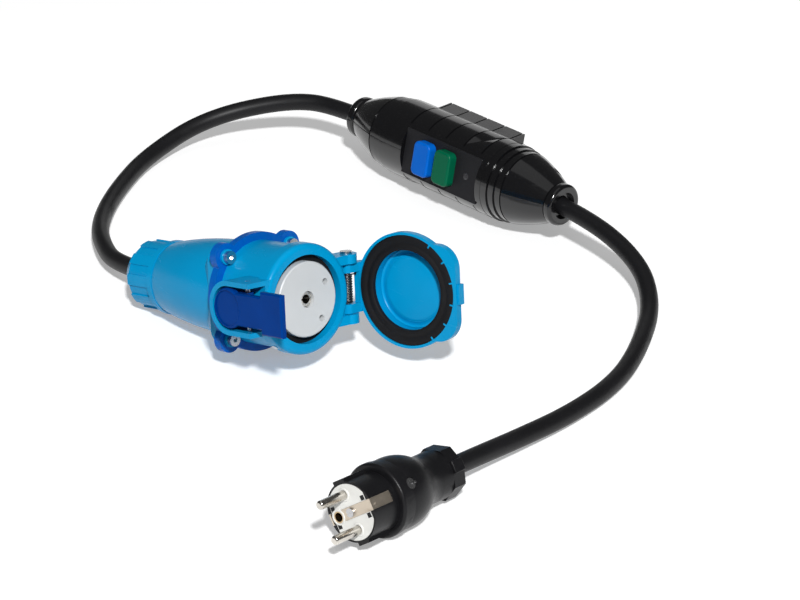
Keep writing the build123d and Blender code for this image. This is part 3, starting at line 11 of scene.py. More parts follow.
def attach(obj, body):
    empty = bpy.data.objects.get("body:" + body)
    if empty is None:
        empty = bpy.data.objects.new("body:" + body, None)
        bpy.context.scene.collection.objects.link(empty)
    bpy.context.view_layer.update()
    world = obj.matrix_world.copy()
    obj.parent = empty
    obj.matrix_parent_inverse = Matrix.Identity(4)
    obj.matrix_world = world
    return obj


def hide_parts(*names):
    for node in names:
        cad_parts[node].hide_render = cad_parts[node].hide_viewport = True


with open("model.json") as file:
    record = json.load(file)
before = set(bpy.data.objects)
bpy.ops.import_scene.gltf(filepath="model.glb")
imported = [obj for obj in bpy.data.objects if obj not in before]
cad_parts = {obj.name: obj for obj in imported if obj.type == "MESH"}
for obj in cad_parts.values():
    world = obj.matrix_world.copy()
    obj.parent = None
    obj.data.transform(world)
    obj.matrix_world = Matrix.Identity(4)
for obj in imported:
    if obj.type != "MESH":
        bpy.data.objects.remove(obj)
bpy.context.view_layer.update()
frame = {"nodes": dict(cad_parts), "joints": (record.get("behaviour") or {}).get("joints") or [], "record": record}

bl_info = {
    "name": "Adapter lead",
    "version": (1, 0, 0),
    "blender": (4, 5, 0),
    "location": "3D View > Sidebar > Adapter lead",
    "description": "An adapter lead with a blue coupler, an in-line trip box and a round-pin plug",
    "category": "Add Mesh",
}

# Places of the three assemblies, read from the joints and mounts of the frame
MM = 0.001
DISC_HALF_DEPTH = 6.0
PIN_MIDDLE = 9.1
BOX_AXIS = (-2.8, -9.19, 27.86)
BOX_HEADING = math.radians(-2.0)


def joint_named(name):
    """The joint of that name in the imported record."""
    return next(joint for joint in frame["joints"] if joint["name"] == name)


def mount_named(name):
    """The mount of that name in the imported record."""
    return next(mount for mount in frame["record"]["mounts"] if mount["name"] == name)


def local_frame(origin, forward, up):
    """A matrix whose X is forward and whose Z is up, as near as forward allows."""
    x = Vector(forward).normalized()
    y = Vector(up).cross(x).normalized()
    z = x.cross(y)
    place = Matrix((x, y, z)).transposed().to_4x4()
    place.translation = origin
    return place


def coupler_place():
    """The coupler's own frame: X out of its mouth, Z along the lid's hinge."""
    turn = joint_named("shutter_turn")
    forward = Vector(turn["axis"])
    origin = Vector(turn["pos_m"]) + forward * DISC_HALF_DEPTH * MM
    return local_frame(origin, forward, joint_named("lid_hinge")["axis"])


def lid_place():
    """The open lid's own frame, in which the lid would lie shut on the mouth."""
    coupler = coupler_place()
    hinge = joint_named("lid_hinge")
    centre = coupler.inverted() @ Vector(hinge["pos_m"])
    turn = Matrix.Rotation(math.radians(-hinge["range_deg"][0]), 4, "Z")
    return coupler @ Matrix.Translation(centre) @ turn @ Matrix.Translation(-centre)


def box_place():
    """The box's own frame: X along it, Y into its panel, Z up its leaning side."""
    inward = Vector(joint_named("test_press")["axis"])
    forward = Vector((inward.y, -inward.x, 0))
    origin = Matrix.Rotation(BOX_HEADING, 3, "Z") @ Vector(BOX_AXIS) * MM
    return local_frame(origin, forward, forward.cross(inward))


def plug_place():
    """The plug's own frame: X along its pins, Z from one pin to the other."""
    line = mount_named("line_pin")
    neutral = mount_named("neutral_pin")
    forward = Vector(line["axis"])
    middle = (Vector(line["pos_m"]) + Vector(neutral["pos_m"])) / 2
    up = Vector(line["pos_m"]) - Vector(neutral["pos_m"])
    return local_frame(middle - forward * PIN_MIDDLE * MM, forward, up)


# Sizes and colours that a user would change


def length(name, description, default):
    """A length property in metres."""
    return FloatProperty(name=name, description=description, default=default, unit="LENGTH", precision=5)


def colour(name, description, default):
    """A colour property in linear light."""
    return FloatVectorProperty(name=name, description=description, default=default, subtype="COLOR",
                               size=3, min=0.0, max=1.0)


def count(name, description, default):
    """A whole number property."""
    return IntProperty(name=name, description=description, default=default, min=1)


def power(name, description, default):
    """A lamp's power property in watts."""
    return FloatProperty(name=name, description=description, default=default, unit="POWER")


class CableSizes(PropertyGroup):
    diameter: length("Diameter", "Outside of the rubber cable", 0.0105)
    coupler_length: length("Coupler cable", "Cable between the box and the coupler", 0.400)
    plug_length: length("Plug cable", "Cable between the box and the plug", 0.386)


class CouplerSizes(PropertyGroup):
    gasket_inner: length("Gasket bore", "Inner radius of the lid's gasket", 0.0223)
    gasket_outer: length("Gasket edge", "Outer radius of the lid's gasket", 0.0308)
    floor_radius: length("Lid floor", "Radius of the raised floor in the lid", 0.0190)
    clip_count: count("Clips", "Small clips over the gasket", 6)
    pad_radius: length("Thumb pad", "Radius of the latch's thumb pad", 0.0100)


class BoxSizes(PropertyGroup):
    seam_radius: length("Seam", "Half the width of the casing's parting seam", 0.00025)


class PlugSizes(PropertyGroup):
    lug_height: length("Nut lug", "How far the clamp nut's lugs stand out", 0.0014)
    # Side of the black blocks that paint the shade in the face's notches
    notch_shade_side: length("Notch shade", "Side of the dark blocks that paint the shade in the face's notches", 0.0026)


class LeadColours(PropertyGroup):
    blue: colour("Housing blue", "Gloss plastic of the coupler", (0.000, 0.280, 0.560))
    gasket: colour("Gasket blue", "Soft plate between the coupler's halves", (0.000, 0.100, 0.430))
    latch: colour("Latch blue", "Dark plastic of the latch", (0.000, 0.040, 0.240))
    disc: colour("Disc grey", "Pale contact disc", (0.560, 0.580, 0.590))
    seal: colour("Seal black", "Rubber seals", (0.010, 0.010, 0.011))
    casing: colour("Casing black", "Gloss casing of the box", (0.0045, 0.0045, 0.0052))
    panel: colour("Panel grey", "Plate behind the buttons", (0.014, 0.014, 0.016))
    test: colour("First button", "Blue push button", (0.000, 0.120, 0.560))
    reset: colour("Second button", "Green push button", (0.000, 0.105, 0.048))
    cable: colour("Cable", "Rubber cable", (0.008, 0.008, 0.009))
    plug: colour("Plug", "Rubber of the plug", (0.007, 0.007, 0.008))
    face: colour("Plug face", "Pale insert of the plug", (0.740, 0.740, 0.710))
    nickel: colour("Nickel", "Plated pins and sleeve", (0.620, 0.590, 0.540))
    steel: colour("Steel", "Screws, pins and springs", (0.520, 0.520, 0.530))
    brass: colour("Brass", "Earth parts of the plug", (0.560, 0.420, 0.250))
    strip: colour("Earth strip", "Plated strip on the plug's face", (0.640, 0.560, 0.460))


class StageSettings(PropertyGroup):
    key_power: power("Key light", "Power of the main lamp", 720.0)
    top_power: power("Top light", "Power of the overhead lamp", 1.8)
    back_power: power("Back light", "Power of the lamp behind", 1.7)
    fill: FloatProperty(name="Fill", description="Strength of the plain surroundings", default=0.08)


# Shared surface effects, each a node group with plain values going in


def effect_tree(name, inputs, outputs):
    """A shader node group with named inputs and outputs, and its two end nodes."""
    tree = bpy.data.node_groups.new(name, "ShaderNodeTree")
    for label, kind, value in inputs:
        socket = tree.interface.new_socket(name=label, in_out="INPUT", socket_type=kind)
        socket.default_value = value
    for label, kind in outputs:
        tree.interface.new_socket(name=label, in_out="OUTPUT", socket_type=kind)
    return tree, tree.nodes.new("NodeGroupInput"), tree.nodes.new("NodeGroupOutput")


def maths(tree, operation, first, second):
    """A math node fed by sockets or plain numbers."""
    node = tree.nodes.new("ShaderNodeMath")
    node.operation = operation
    for socket, value in zip(node.inputs, (first, second)):
        if isinstance(value, bpy.types.NodeSocket):
            tree.links.new(value, socket)
        else:
            socket.default_value = value
    return node.outputs[0]


def noise(tree, scale, detail, stretch=(1, 1, 1)):
    """Noise in the object's own space, stretched along an axis where that is asked."""
    place = tree.nodes.new("ShaderNodeTexCoord")
    mapping = tree.nodes.new("ShaderNodeMapping")
    mapping.inputs["Scale"].default_value = stretch
    texture = tree.nodes.new("ShaderNodeTexNoise")
    texture.inputs["Detail"].default_value = detail
    tree.links.new(place.outputs["Object"], mapping.inputs["Vector"])
    tree.links.new(mapping.outputs["Vector"], texture.inputs["Vector"])
    if isinstance(scale, bpy.types.NodeSocket):
        tree.links.new(scale, texture.inputs["Scale"])
    else:
        texture.inputs["Scale"].default_value = scale
    return texture.outputs[0]


def spread(tree, value, low, high, to_low, to_high):
    """A value mapped from one range to another and held within it."""
    node = tree.nodes.new("ShaderNodeMapRange")
    tree.links.new(value, node.inputs["Value"])
    for label, number in (("From Min", low), ("From Max", high), ("To Min", to_low), ("To Max", to_high)):
        if isinstance(number, bpy.types.NodeSocket):
            tree.links.new(number, node.inputs[label])
        else:
            node.inputs[label].default_value = number
    return node.outputs[0]


FLOAT = "NodeSocketFloat"
COLOUR = "NodeSocketColor"
FINE_SCALE = 2600.0
FINE_DETAIL = 3.0
WAVE_SCALE = 160.0
WAVE_DETAIL = 1.0
WAVE_SHARE = 0.55
SCUFF_SCALE = 90.0
SCUFF_DETAIL = 6.0
SCUFF_AMOUNT_SHARE = 0.3
SCUFF_STRETCH = (0.35, 1.0, 2.4)
SCUFF_LOW_SHARE = 0.62
SCUFF_HIGH_SHARE = 0.74
DUST_SCALE = 900.0
DUST_DETAIL = 4.0
DUST_AMOUNT_SHARE = 0.1
DUST_SLOPE_SHARE = 0.2
DUST_LOW_SHARE = 0.60
DUST_HIGH_SHARE = 0.80
TONE_SCALE = 30.0
TONE_DETAIL = 4.0
TONE_DRIFT_SHARE = 0.1
TONE_LOW_SHARE = 0.3
TONE_HIGH_SHARE = 0.7
TONE_GREY = (0.5, 0.5, 0.5, 1.0)


def grain_effect():
    """The fine grain and slow waves of a moulded surface, as a height."""
    tree, entry, leave = effect_tree("moulded grain", [("Fine", FLOAT, 1.0), ("Wave", FLOAT, 1.0)],
                                     [("Height", FLOAT)])
    fine = maths(tree, "MULTIPLY", noise(tree, FINE_SCALE, FINE_DETAIL), entry.outputs["Fine"])
    wave = maths(tree, "MULTIPLY", noise(tree, WAVE_SCALE, WAVE_DETAIL), entry.outputs["Wave"])
    height = maths(tree, "ADD", fine, maths(tree, "MULTIPLY", wave, WAVE_SHARE))
    tree.links.new(height, leave.inputs["Height"])
    return tree


def scuff_effect():
    """Faint streaks where a surface has been handled, as a mask."""
    values = [("Scale", FLOAT, SCUFF_SCALE), ("Amount", FLOAT, SCUFF_AMOUNT_SHARE)]
    tree, entry, leave = effect_tree("handling scuffs", values, [("Mask", FLOAT)])
    streak = noise(tree, entry.outputs["Scale"], SCUFF_DETAIL, SCUFF_STRETCH)
    mask = spread(tree, streak, SCUFF_LOW_SHARE, SCUFF_HIGH_SHARE, 0.0, entry.outputs["Amount"])
    tree.links.new(mask, leave.inputs["Mask"])
    return tree


def dust_effect():
    """Specks that settle on what faces up, as a mask."""
    values = [("Amount", FLOAT, DUST_AMOUNT_SHARE)]
    tree, entry, leave = effect_tree("settled dust", values, [("Mask", FLOAT)])
    shape = tree.nodes.new("ShaderNodeNewGeometry")
    split = tree.nodes.new("ShaderNodeSeparateXYZ")
    tree.links.new(shape.outputs["Normal"], split.inputs[0])
    upward = spread(tree, split.outputs["Z"], DUST_SLOPE_SHARE, 1.0, 0.0, entry.outputs["Amount"])
    specks = noise(tree, DUST_SCALE, DUST_DETAIL)
    speck = spread(tree, specks, DUST_LOW_SHARE, DUST_HIGH_SHARE, 0.0, 1.0)
    tree.links.new(maths(tree, "MULTIPLY", upward, speck), leave.inputs["Mask"])
    return tree


def tone_effect():
    """A slow change of tone in a moulded or rubber colour."""
    values = [("Colour", COLOUR, TONE_GREY), ("Scale", FLOAT, TONE_SCALE),
              ("Drift", FLOAT, TONE_DRIFT_SHARE)]
    tree, entry, leave = effect_tree("tone drift", values, [("Colour", COLOUR)])
    low = maths(tree, "SUBTRACT", 1.0, entry.outputs["Drift"])
    high = maths(tree, "ADD", 1.0, entry.outputs["Drift"])
    waves = noise(tree, entry.outputs["Scale"], TONE_DETAIL)
    level = spread(tree, waves, TONE_LOW_SHARE, TONE_HIGH_SHARE, low, high)
    scale = tree.nodes.new("ShaderNodeVectorMath")
    scale.operation = "SCALE"
    tree.links.new(entry.outputs["Colour"], scale.inputs[0])
    tree.links.new(level, scale.inputs["Scale"])
    tree.links.new(scale.outputs["Vector"], leave.inputs["Colour"])
    return tree


EFFECTS = {}


def effect(name):
    """One of the shared effects, built the first time that a material asks for it."""
    makers = {"grain": grain_effect, "scuff": scuff_effect, "dust": dust_effect, "tone": tone_effect}
    if name not in EFFECTS:
        EFFECTS[name] = makers[name]()
    return EFFECTS[name]


def placed_effect(tree, name, **values):
    """An effect's node in a material, with its own values."""
    node = tree.nodes.new("ShaderNodeGroup")
    node.node_tree = effect(name)
    for label, value in values.items():
        node.inputs[label].default_value = value
    return node


DUST_COLOUR = (0.42, 0.41, 0.39, 1.0)
BUMP_DISTANCE = 0.0002
PLAIN_SPECULAR = 0.5
RUBBER_SPECULAR = 0.22
SOFT_SPECULAR = 0.12
LATCH_SPECULAR = 0.04
CABLE_SCUFF_SCALE = 60.0
METAL_SCUFF_SCALE = 240.0
SPRING_SHADE_SHARE = 0.2
BOARD_COLOUR = (0.008, 0.075, 0.024)
RELAY_COLOUR = (0.012, 0.012, 0.014)
INDICATOR_COLOUR = (0.03, 0.03, 0.034)

# Sockets of the node that mixes two colours, by their places in it
MIX_FACTOR = 0
MIX_FIRST = 6
MIX_SECOND = 7
MIX_RESULT = 2

MATERIALS = {}


def surface(name, base, roughness, fine=0.3, wave=0.3, drift=0.06, scuffs=0.15,
            scuff_scale=SCUFF_SCALE, dust=0.05, bump=0.25, specular=PLAIN_SPECULAR):
    """A finished surface: tone drift, grain, scuffs that change the gloss, and a little dust."""
    if name in MATERIALS:
        return MATERIALS[name]
    material = bpy.data.materials.new(name)
    material.use_nodes = True
    tree = material.node_tree
    shader = tree.nodes["Principled BSDF"]
    tone = placed_effect(tree, "tone", Colour=(*base, 1.0), Drift=drift)
    grain = placed_effect(tree, "grain", Fine=fine, Wave=wave)
    scuff = placed_effect(tree, "scuff", Scale=scuff_scale, Amount=scuffs)
    settled = placed_effect(tree, "dust", Amount=dust)
    mix = tree.nodes.new("ShaderNodeMix")
    mix.data_type = "RGBA"
    mix.inputs[MIX_SECOND].default_value = DUST_COLOUR
    tree.links.new(settled.outputs["Mask"], mix.inputs[MIX_FACTOR])
    tree.links.new(tone.outputs["Colour"], mix.inputs[MIX_FIRST])
    tree.links.new(mix.outputs[MIX_RESULT], shader.inputs["Base Color"])
    shader.inputs["Specular IOR Level"].default_value = specular
    gloss = maths(tree, "ADD", scuff.outputs["Mask"], roughness)
    tree.links.new(gloss, shader.inputs["Roughness"])
    relief = tree.nodes.new("ShaderNodeBump")
    relief.inputs["Strength"].default_value = bump
    relief.inputs["Distance"].default_value = BUMP_DISTANCE
    tree.links.new(grain.outputs["Height"], relief.inputs["Height"])
    tree.links.new(relief.outputs["Normal"], shader.inputs["Normal"])
    MATERIALS[name] = material
    return material


def shader_of(material):
    """A material's surface shader."""
    return material.node_tree.nodes["Principled BSDF"]


def colours():
    """The colour settings of the scene."""
    return bpy.context.scene.lead_colours


def blue_plastic():
    """Gloss light blue housing plastic."""
    return surface("blue_plastic", colours().blue, 0.26, fine=0.12, wave=0.5, drift=0.05, scuffs=0.16,
                   dust=0.02, specular=SOFT_SPECULAR)


def blue_gasket():
    """Soft, slightly clear blue of the plate between the halves."""
    material = surface("blue_gasket", colours().gasket, 0.32, fine=0.2, wave=0.6, drift=0.12, dust=0.03,
                       specular=SOFT_SPECULAR)
    shader_of(material).inputs["Subsurface Weight"].default_value = 0.2
    shader_of(material).inputs["Subsurface Scale"].default_value = 0.002
    return material


def latch_blue():
    """Dark blue, slightly clear latch plastic."""
    return surface("latch_blue", colours().latch, 0.3, fine=0.3, wave=0.5, drift=0.14, scuffs=0.25,
                   dust=0.02, specular=LATCH_SPECULAR)


def grey_disc():
    """Pale satin plastic of the contact disc."""
    return surface("grey_disc", colours().disc, 0.42, fine=0.8, wave=0.2, drift=0.04, scuffs=0.12)


def black_seal():
    """Dull black sealing rubber."""
    return surface("black_seal", colours().seal, 0.62, fine=1.0, wave=0.6, drift=0.2, scuffs=0.1,
                   dust=0.06, bump=0.4, specular=SOFT_SPECULAR)


def black_gloss():
    """Polished black casing plastic."""
    material = surface("black_gloss", colours().casing, 0.16, fine=0.05, wave=0.7, drift=0.1, scuffs=0.10,
                       dust=0.035, bump=0.2)
    shader_of(material).inputs["Coat Weight"].default_value = 0.3
    shader_of(material).inputs["Coat Roughness"].default_value = 0.05
    return material


def panel_grey():
    """Matte dark plate."""
    return surface("panel_grey", colours().panel, 0.5, fine=1.0, wave=0.1, drift=0.08, scuffs=0.1,
                   bump=0.3, specular=SOFT_SPECULAR)


def button_blue():
    """Satin blue button plastic."""
    return surface("button_blue", colours().test, 0.3, fine=0.25, wave=0.4, drift=0.05, dust=0.02,
                   specular=SOFT_SPECULAR)


def button_green():
    """Satin green button plastic."""
    return surface("button_green", colours().reset, 0.3, fine=0.25, wave=0.4, drift=0.08, dust=0.02,
                   specular=SOFT_SPECULAR)


def cable_rubber():
    """Smooth matte cable sheath with faint lengthways marks."""
    return surface("cable_rubber", colours().cable, 0.44, fine=0.7, wave=0.4, drift=0.18, scuffs=0.16,
                   scuff_scale=CABLE_SCUFF_SCALE, dust=0.03, bump=0.3, specular=RUBBER_SPECULAR)


def plug_rubber():
    """Satin moulded rubber of the plug."""
    return surface("plug_rubber", colours().plug, 0.36, fine=0.9, wave=0.6, drift=0.2, scuffs=0.2,
                   dust=0.03, bump=0.35, specular=RUBBER_SPECULAR)


def white_plastic():
    """Pale plastic of the plug's face."""
    return surface("white_plastic", colours().face, 0.34, fine=0.4, wave=0.3, drift=0.05, scuffs=0.1)


def metal(name, base, roughness, drift=0.12, scuffs=0.2, fine=0.3):
    """A bare or plated metal."""
    material = surface(name, base, roughness, fine=fine, wave=0.3, drift=drift, scuffs=scuffs,
                       scuff_scale=METAL_SCUFF_SCALE, dust=0.02)
    shader_of(material).inputs["Metallic"].default_value = 1.0
    return material


def nickel():
    """Bright plated pins."""
    return metal("nickel", colours().nickel, 0.2)


def steel():
    """Zinc-bright screws."""
    return metal("steel", colours().steel, 0.26)


def spring_steel():
    """Dark spring wire."""
    return metal("spring_steel", tuple(SPRING_SHADE_SHARE * value for value in colours().steel), 0.34)


def brass():
    """Plain brass."""
    return metal("brass", colours().brass, 0.28)


def earth_strip():
    """Dull plated strip."""
    return metal("earth_strip", colours().strip, 0.42, drift=0.2, scuffs=0.3, fine=0.6)


def board_green():
    """Lacquered circuit board."""
    return surface("board_green", BOARD_COLOUR, 0.35, fine=0.3, wave=0.2, drift=0.2)


def relay_case():
    """Dark moulded component case."""
    return surface("relay_case", RELAY_COLOUR, 0.45, fine=0.6, wave=0.2, drift=0.1)


def indicator_clear():
    """Clear light pipe with a dark background."""
    material = surface("indicator_clear", INDICATOR_COLOUR, 0.12, fine=0.05, wave=0.2, drift=0.1)
    shader_of(material).inputs["Coat Weight"].default_value = 0.8
    return material


# Building pieces

EDGE_ANGLE = 40.0
TURNED_EDGE_ANGLE = 50.0
TUBE_EDGE_ANGLE = 60.0
ROUNDED_ANGLE = math.radians(30)
ROUND_PROFILE_SHARE = 0.5
ROUND_STEPS = 3
MERGE_DISTANCE = 1e-6
TUBE_SIDES = 2


def finished_object(name, mesh, material, body, smooth=EDGE_ANGLE):
    """A piece with its material, riding on a body."""
    item = bpy.data.objects.new(name, mesh)
    bpy.context.scene.collection.objects.link(item)
    mesh.materials.append(material)
    mesh.shade_smooth()
    mesh.set_sharp_from_angle(angle=math.radians(smooth))
    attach(item, body)
    return item


def mesh_from(bm, name, place):
    """A mesh in row metres from local millimetres."""
    bmesh.ops.recalc_face_normals(bm, faces=bm.faces)
    mesh = bpy.data.meshes.new(name)
    bm.to_mesh(mesh)
    bm.free()
    mesh.transform(place @ Matrix.Scale(MM, 4))
    return mesh


def add_turned(bm, outline, steps, start=(0, 0)):
    """A closed ring or cap turned about the local X axis; outline holds X and radius, in order round."""
    rows = []
    for step in range(steps):
        angle = math.tau * step / steps
        rows.append([bm.verts.new((x, start[0] + r * math.cos(angle), start[1] + r * math.sin(angle)))
                     for x, r in outline])
    for row, after in zip(rows, rows[1:] + rows[:1]):
        for i in range(len(outline)):
            j = (i + 1) % len(outline)
            bm.faces.new((row[i], row[j], after[j], after[i]))
    bmesh.ops.remove_doubles(bm, verts=bm.verts, dist=MERGE_DISTANCE)


def add_prism(bm, outline, low, high, turn=None):
    """A prism along the local X axis from an outline of Y and Z; turn is a matrix for the whole prism."""
    bottom = [bm.verts.new((low, y, z)) for y, z in outline]
    top = [bm.verts.new((high, y, z)) for y, z in outline]
    bm.faces.new(bottom[::-1])
    bm.faces.new(top)
    for i in range(len(outline)):
        j = (i + 1) % len(outline)
        bm.faces.new((bottom[i], bottom[j], top[j], top[i]))
    if turn is not None:
        bmesh.ops.transform(bm, matrix=turn, verts=bottom + top)
    return bottom + top


def rounded(item, width, segments=ROUND_STEPS):
    """A small bevel on a piece's edges, applied to its mesh."""
    bm = bmesh.new()
    bm.from_mesh(item.data)
    folds = [edge for edge in bm.edges if len(edge.link_faces) == 2]
    edges = [edge for edge in folds if edge.calc_face_angle(0) > ROUNDED_ANGLE]
    bmesh.ops.bevel(bm, geom=edges, offset=width, segments=segments, affect="EDGES",
                    profile=ROUND_PROFILE_SHARE)
    bm.to_mesh(item.data)
    bm.free()
    item.data.shade_smooth()


def rectangle(y_low, y_high, z_low, z_high):
    """Corners of a rectangle in Y and Z."""
    return [(y_low, z_low), (y_high, z_low), (y_high, z_high), (y_low, z_high)]


def tube_along(name, points, radius, place, closed=False):
    """A curve with a round section through local points, as a mesh in row metres."""
    curve = bpy.data.curves.new(name, "CURVE")
    curve.dimensions = "3D"
    curve.bevel_depth = radius
    curve.bevel_resolution = TUBE_SIDES
    spline = curve.splines.new("POLY")
    spline.points.add(len(points) - 1)
    for target, point in zip(spline.points, points):
        target.co = (*(place @ (Vector(point) * MM)), 1.0)
    spline.use_cyclic_u = closed
    holder = bpy.data.objects.new(name + "_curve", curve)
    bpy.context.scene.collection.objects.link(holder)
    bpy.context.view_layer.update()
    mesh = bpy.data.meshes.new_from_object(holder.evaluated_get(bpy.context.evaluated_depsgraph_get()))
    bpy.data.objects.remove(holder)
    return mesh


# Cables, each a smooth curve through control points in metres, from the box to its other end

LEFT_ROUTE = [(-0.0611, -0.0071, 0.0279), (-0.1099, -0.0054, 0.0279), (-0.1395, -0.0195, 0.0285),
              (-0.1750, -0.0600, 0.0175), (-0.1755, -0.1100, 0.0065), (-0.1535, -0.1525, 0.0060),
              (-0.1290, -0.1865, 0.0070), (-0.1015, -0.2115, 0.0100), (-0.0631, -0.2306, 0.0120),
              (-0.0144, -0.2306, 0.0232)]
RIGHT_ROUTE = [(0.0548, -0.0111, 0.0279), (0.1036, -0.0128, 0.0279), (0.1510, -0.0192, 0.0170),
               (0.1808, -0.0410, 0.0075), (0.2080, -0.0822, 0.0060), (0.2268, -0.1225, 0.0060),
               (0.2340, -0.1675, 0.0065), (0.2353, -0.2130, 0.0090), (0.2364, -0.2432, 0.0118),
               (0.2395, -0.2808, 0.0158)]
CABLE_SIDES = 10
CABLE_STEPS = 16
CABLE_ORDER = 3


def cable(name, route, diameter):
    """One length of round cable on a smooth curve."""
    curve = bpy.data.curves.new(name, "CURVE")
    curve.dimensions = "3D"
    curve.bevel_depth = diameter / 2
    curve.bevel_resolution = CABLE_SIDES
    curve.use_fill_caps = True
    curve.resolution_u = CABLE_STEPS
    spline = curve.splines.new("NURBS")
    spline.points.add(len(route) - 1)
    for target, point in zip(spline.points, route):
        target.co = (*point, 1.0)
    spline.order_u = CABLE_ORDER
    spline.use_endpoint_u = True
    spline.resolution_u = CABLE_STEPS
    curve.materials.append(cable_rubber())
    item = bpy.data.objects.new(name, curve)
    bpy.context.scene.collection.objects.link(item)
    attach(item, "assembly")
    return item


class LEAD_OT_cables(Operator):
    """Add the two lengths of rubber cable"""
    bl_idname = "lead.cables"
    bl_label = "Cables"

    def execute(self, context):
        sizes = context.scene.cable_sizes
        box = box_place()
        left = cable("cable_to_coupler", LEFT_ROUTE, sizes.diameter)
        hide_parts("coupler_cord")
        right = cable("cable_to_plug", RIGHT_ROUTE, sizes.diameter)
        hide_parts("plug_cord")
        return {"FINISHED"}


# Finishes of the solid pieces


def finish_of(slot_name):
    """The material for one of the record's material slots."""
    makers = {
        "blue_plastic": blue_plastic, "blue_gasket": blue_gasket, "latch_blue": latch_blue,
        "grey_disc": grey_disc, "black_seal": black_seal, "black_gloss": black_gloss,
        "panel_grey": panel_grey, "button_blue": button_blue, "button_green": button_green,
        "indicator_clear": indicator_clear, "cable_rubber": cable_rubber, "plug_rubber": plug_rubber,
        "white_plastic": white_plastic, "nickel": nickel, "brass": brass, "steel": steel,
        "spring_steel": spring_steel, "earth_strip": earth_strip, "board_green": board_green,
        "relay_case": relay_case,
    }
    return makers[slot_name]()


class LEAD_OT_finishes(Operator):
    """Give every solid piece its finish"""
    bl_idname = "lead.finishes"
    bl_label = "Finishes"

    def execute(self, context):
        for part in frame["record"]["subparts"]:
            item = frame["nodes"][part["node"]]
            item.data.materials.clear()
            item.data.materials.append(finish_of(part["material_slot"]))
        return {"FINISHED"}


# Lid details, in the lid's own frame in millimetres; X runs from the mouth's plane into the lid

# The gasket's section: X with the distance outwards from its bore, then X with the distance inwards
# from its edge
GASKET_BORE_SIDE = ((3.3, 0.1), (0.9, 0.1), (0.5, 0.6), (0.45, 1.6), (0.45, 2.6), (0.85, 3.1), (0.85, 4.4),
                    (0.45, 4.9))
GASKET_EDGE_SIDE = ((0.45, 0.9), (0.75, 0.15), (3.3, 0.1))

# The floor's soft edge: depths behind its face with shares of its radius, the foot of its slope, then
# distances before its back with distances inside the recess
FLOOR_FACE = 7.3
FLOOR_BACK = 8.9
FLOOR_EDGE_DEPTHS = (0.0, 0.1, 0.35, 0.8)
FLOOR_EDGE_SHARES = (0.88, 0.93, 0.97, 1.0)
FLOOR_FOOT_DEPTH = 1.3
FLOOR_FOOT_REACH = 1.0
FLOOR_RIM = ((0.1, 1.2), (0.2, 0.5), (0.9, 0.0))
RECESS_RADIUS = 22.1

CLIP_RADIUS = 30.1
CLIP_LONG = 2.2
CLIP_WIDE = 0.9
CLIP_FACE = 0.2
CLIP_BACK = 1.0
CLIP_ROUND = 0.15
CLIP_ROUND_STEPS = 2
CLIP_FIRST = math.radians(122)
CLIP_SPAN = math.radians(116)
STEPS = 128


class LEAD_OT_lid_gasket(Operator):
    """Add the lid's black gasket with its lips"""
    bl_idname = "lead.lid_gasket"
    bl_label = "Lid gasket"

    def execute(self, context):
        sizes = context.scene.coupler_sizes
        inner = sizes.gasket_inner / MM
        outer = sizes.gasket_outer / MM
        outline = [(x, inner + reach) for x, reach in GASKET_BORE_SIDE]
        outline += [(x, outer - inset) for x, inset in GASKET_EDGE_SIDE]
        bm = bmesh.new()
        add_turned(bm, outline, STEPS)
        mesh = mesh_from(bm, "lid_gasket_ring", lid_place())
        ring = finished_object("lid_gasket_ring", mesh, black_seal(), "lid",
                               smooth=TURNED_EDGE_ANGLE)
        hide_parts("lid_gasket")
        return {"FINISHED"}


class LEAD_OT_lid_floor(Operator):
    """Add the soft-edged raised floor inside the lid"""
    bl_idname = "lead.lid_floor"
    bl_label = "Lid floor"

    def execute(self, context):
        radius = context.scene.coupler_sizes.floor_radius / MM
        outline = [(FLOOR_FACE, 0)]
        outline += [(FLOOR_FACE + depth, radius * share)
                    for depth, share in zip(FLOOR_EDGE_DEPTHS, FLOOR_EDGE_SHARES)]
        outline.append((FLOOR_FACE + FLOOR_FOOT_DEPTH, radius + FLOOR_FOOT_REACH))
        outline += [(FLOOR_BACK - rise, RECESS_RADIUS - inset) for rise, inset in FLOOR_RIM]
        outline += [(FLOOR_BACK, RECESS_RADIUS), (FLOOR_BACK, 0)]
        bm = bmesh.new()
        add_turned(bm, outline, STEPS)
        mesh = mesh_from(bm, "lid_floor", lid_place())
        finished_object("lid_floor", mesh, blue_plastic(), "lid", smooth=TURNED_EDGE_ANGLE)
        return {"FINISHED"}


class LEAD_OT_lid_clips(Operator):
    """Add the small clips that hold the gasket on the lid's far side"""
    bl_idname = "lead.lid_clips"
    bl_label = "Lid clips"

    def execute(self, context):
        amount = context.scene.coupler_sizes.clip_count
        outline = rectangle(CLIP_RADIUS - CLIP_LONG / 2, CLIP_RADIUS + CLIP_LONG / 2,
                            -CLIP_WIDE / 2, CLIP_WIDE / 2)
        bm = bmesh.new()
        for number in range(amount):
            angle = CLIP_FIRST + CLIP_SPAN * number / (amount - 1)
            add_prism(bm, outline, CLIP_FACE, CLIP_BACK, Matrix.Rotation(angle, 4, "X"))
        mesh = mesh_from(bm, "lid_clips", lid_place())
        item = finished_object("lid_clips", mesh, blue_plastic(), "lid")
        rounded(item, CLIP_ROUND * MM, CLIP_ROUND_STEPS)
        return {"FINISHED"}


# Latch details, in the coupler's own frame in millimetres

THUMB_X = -18.0
PAD_RIM_Y = -42.5
PAD_RIM_RADIUS = 0.25
PAD_STEPS = 64


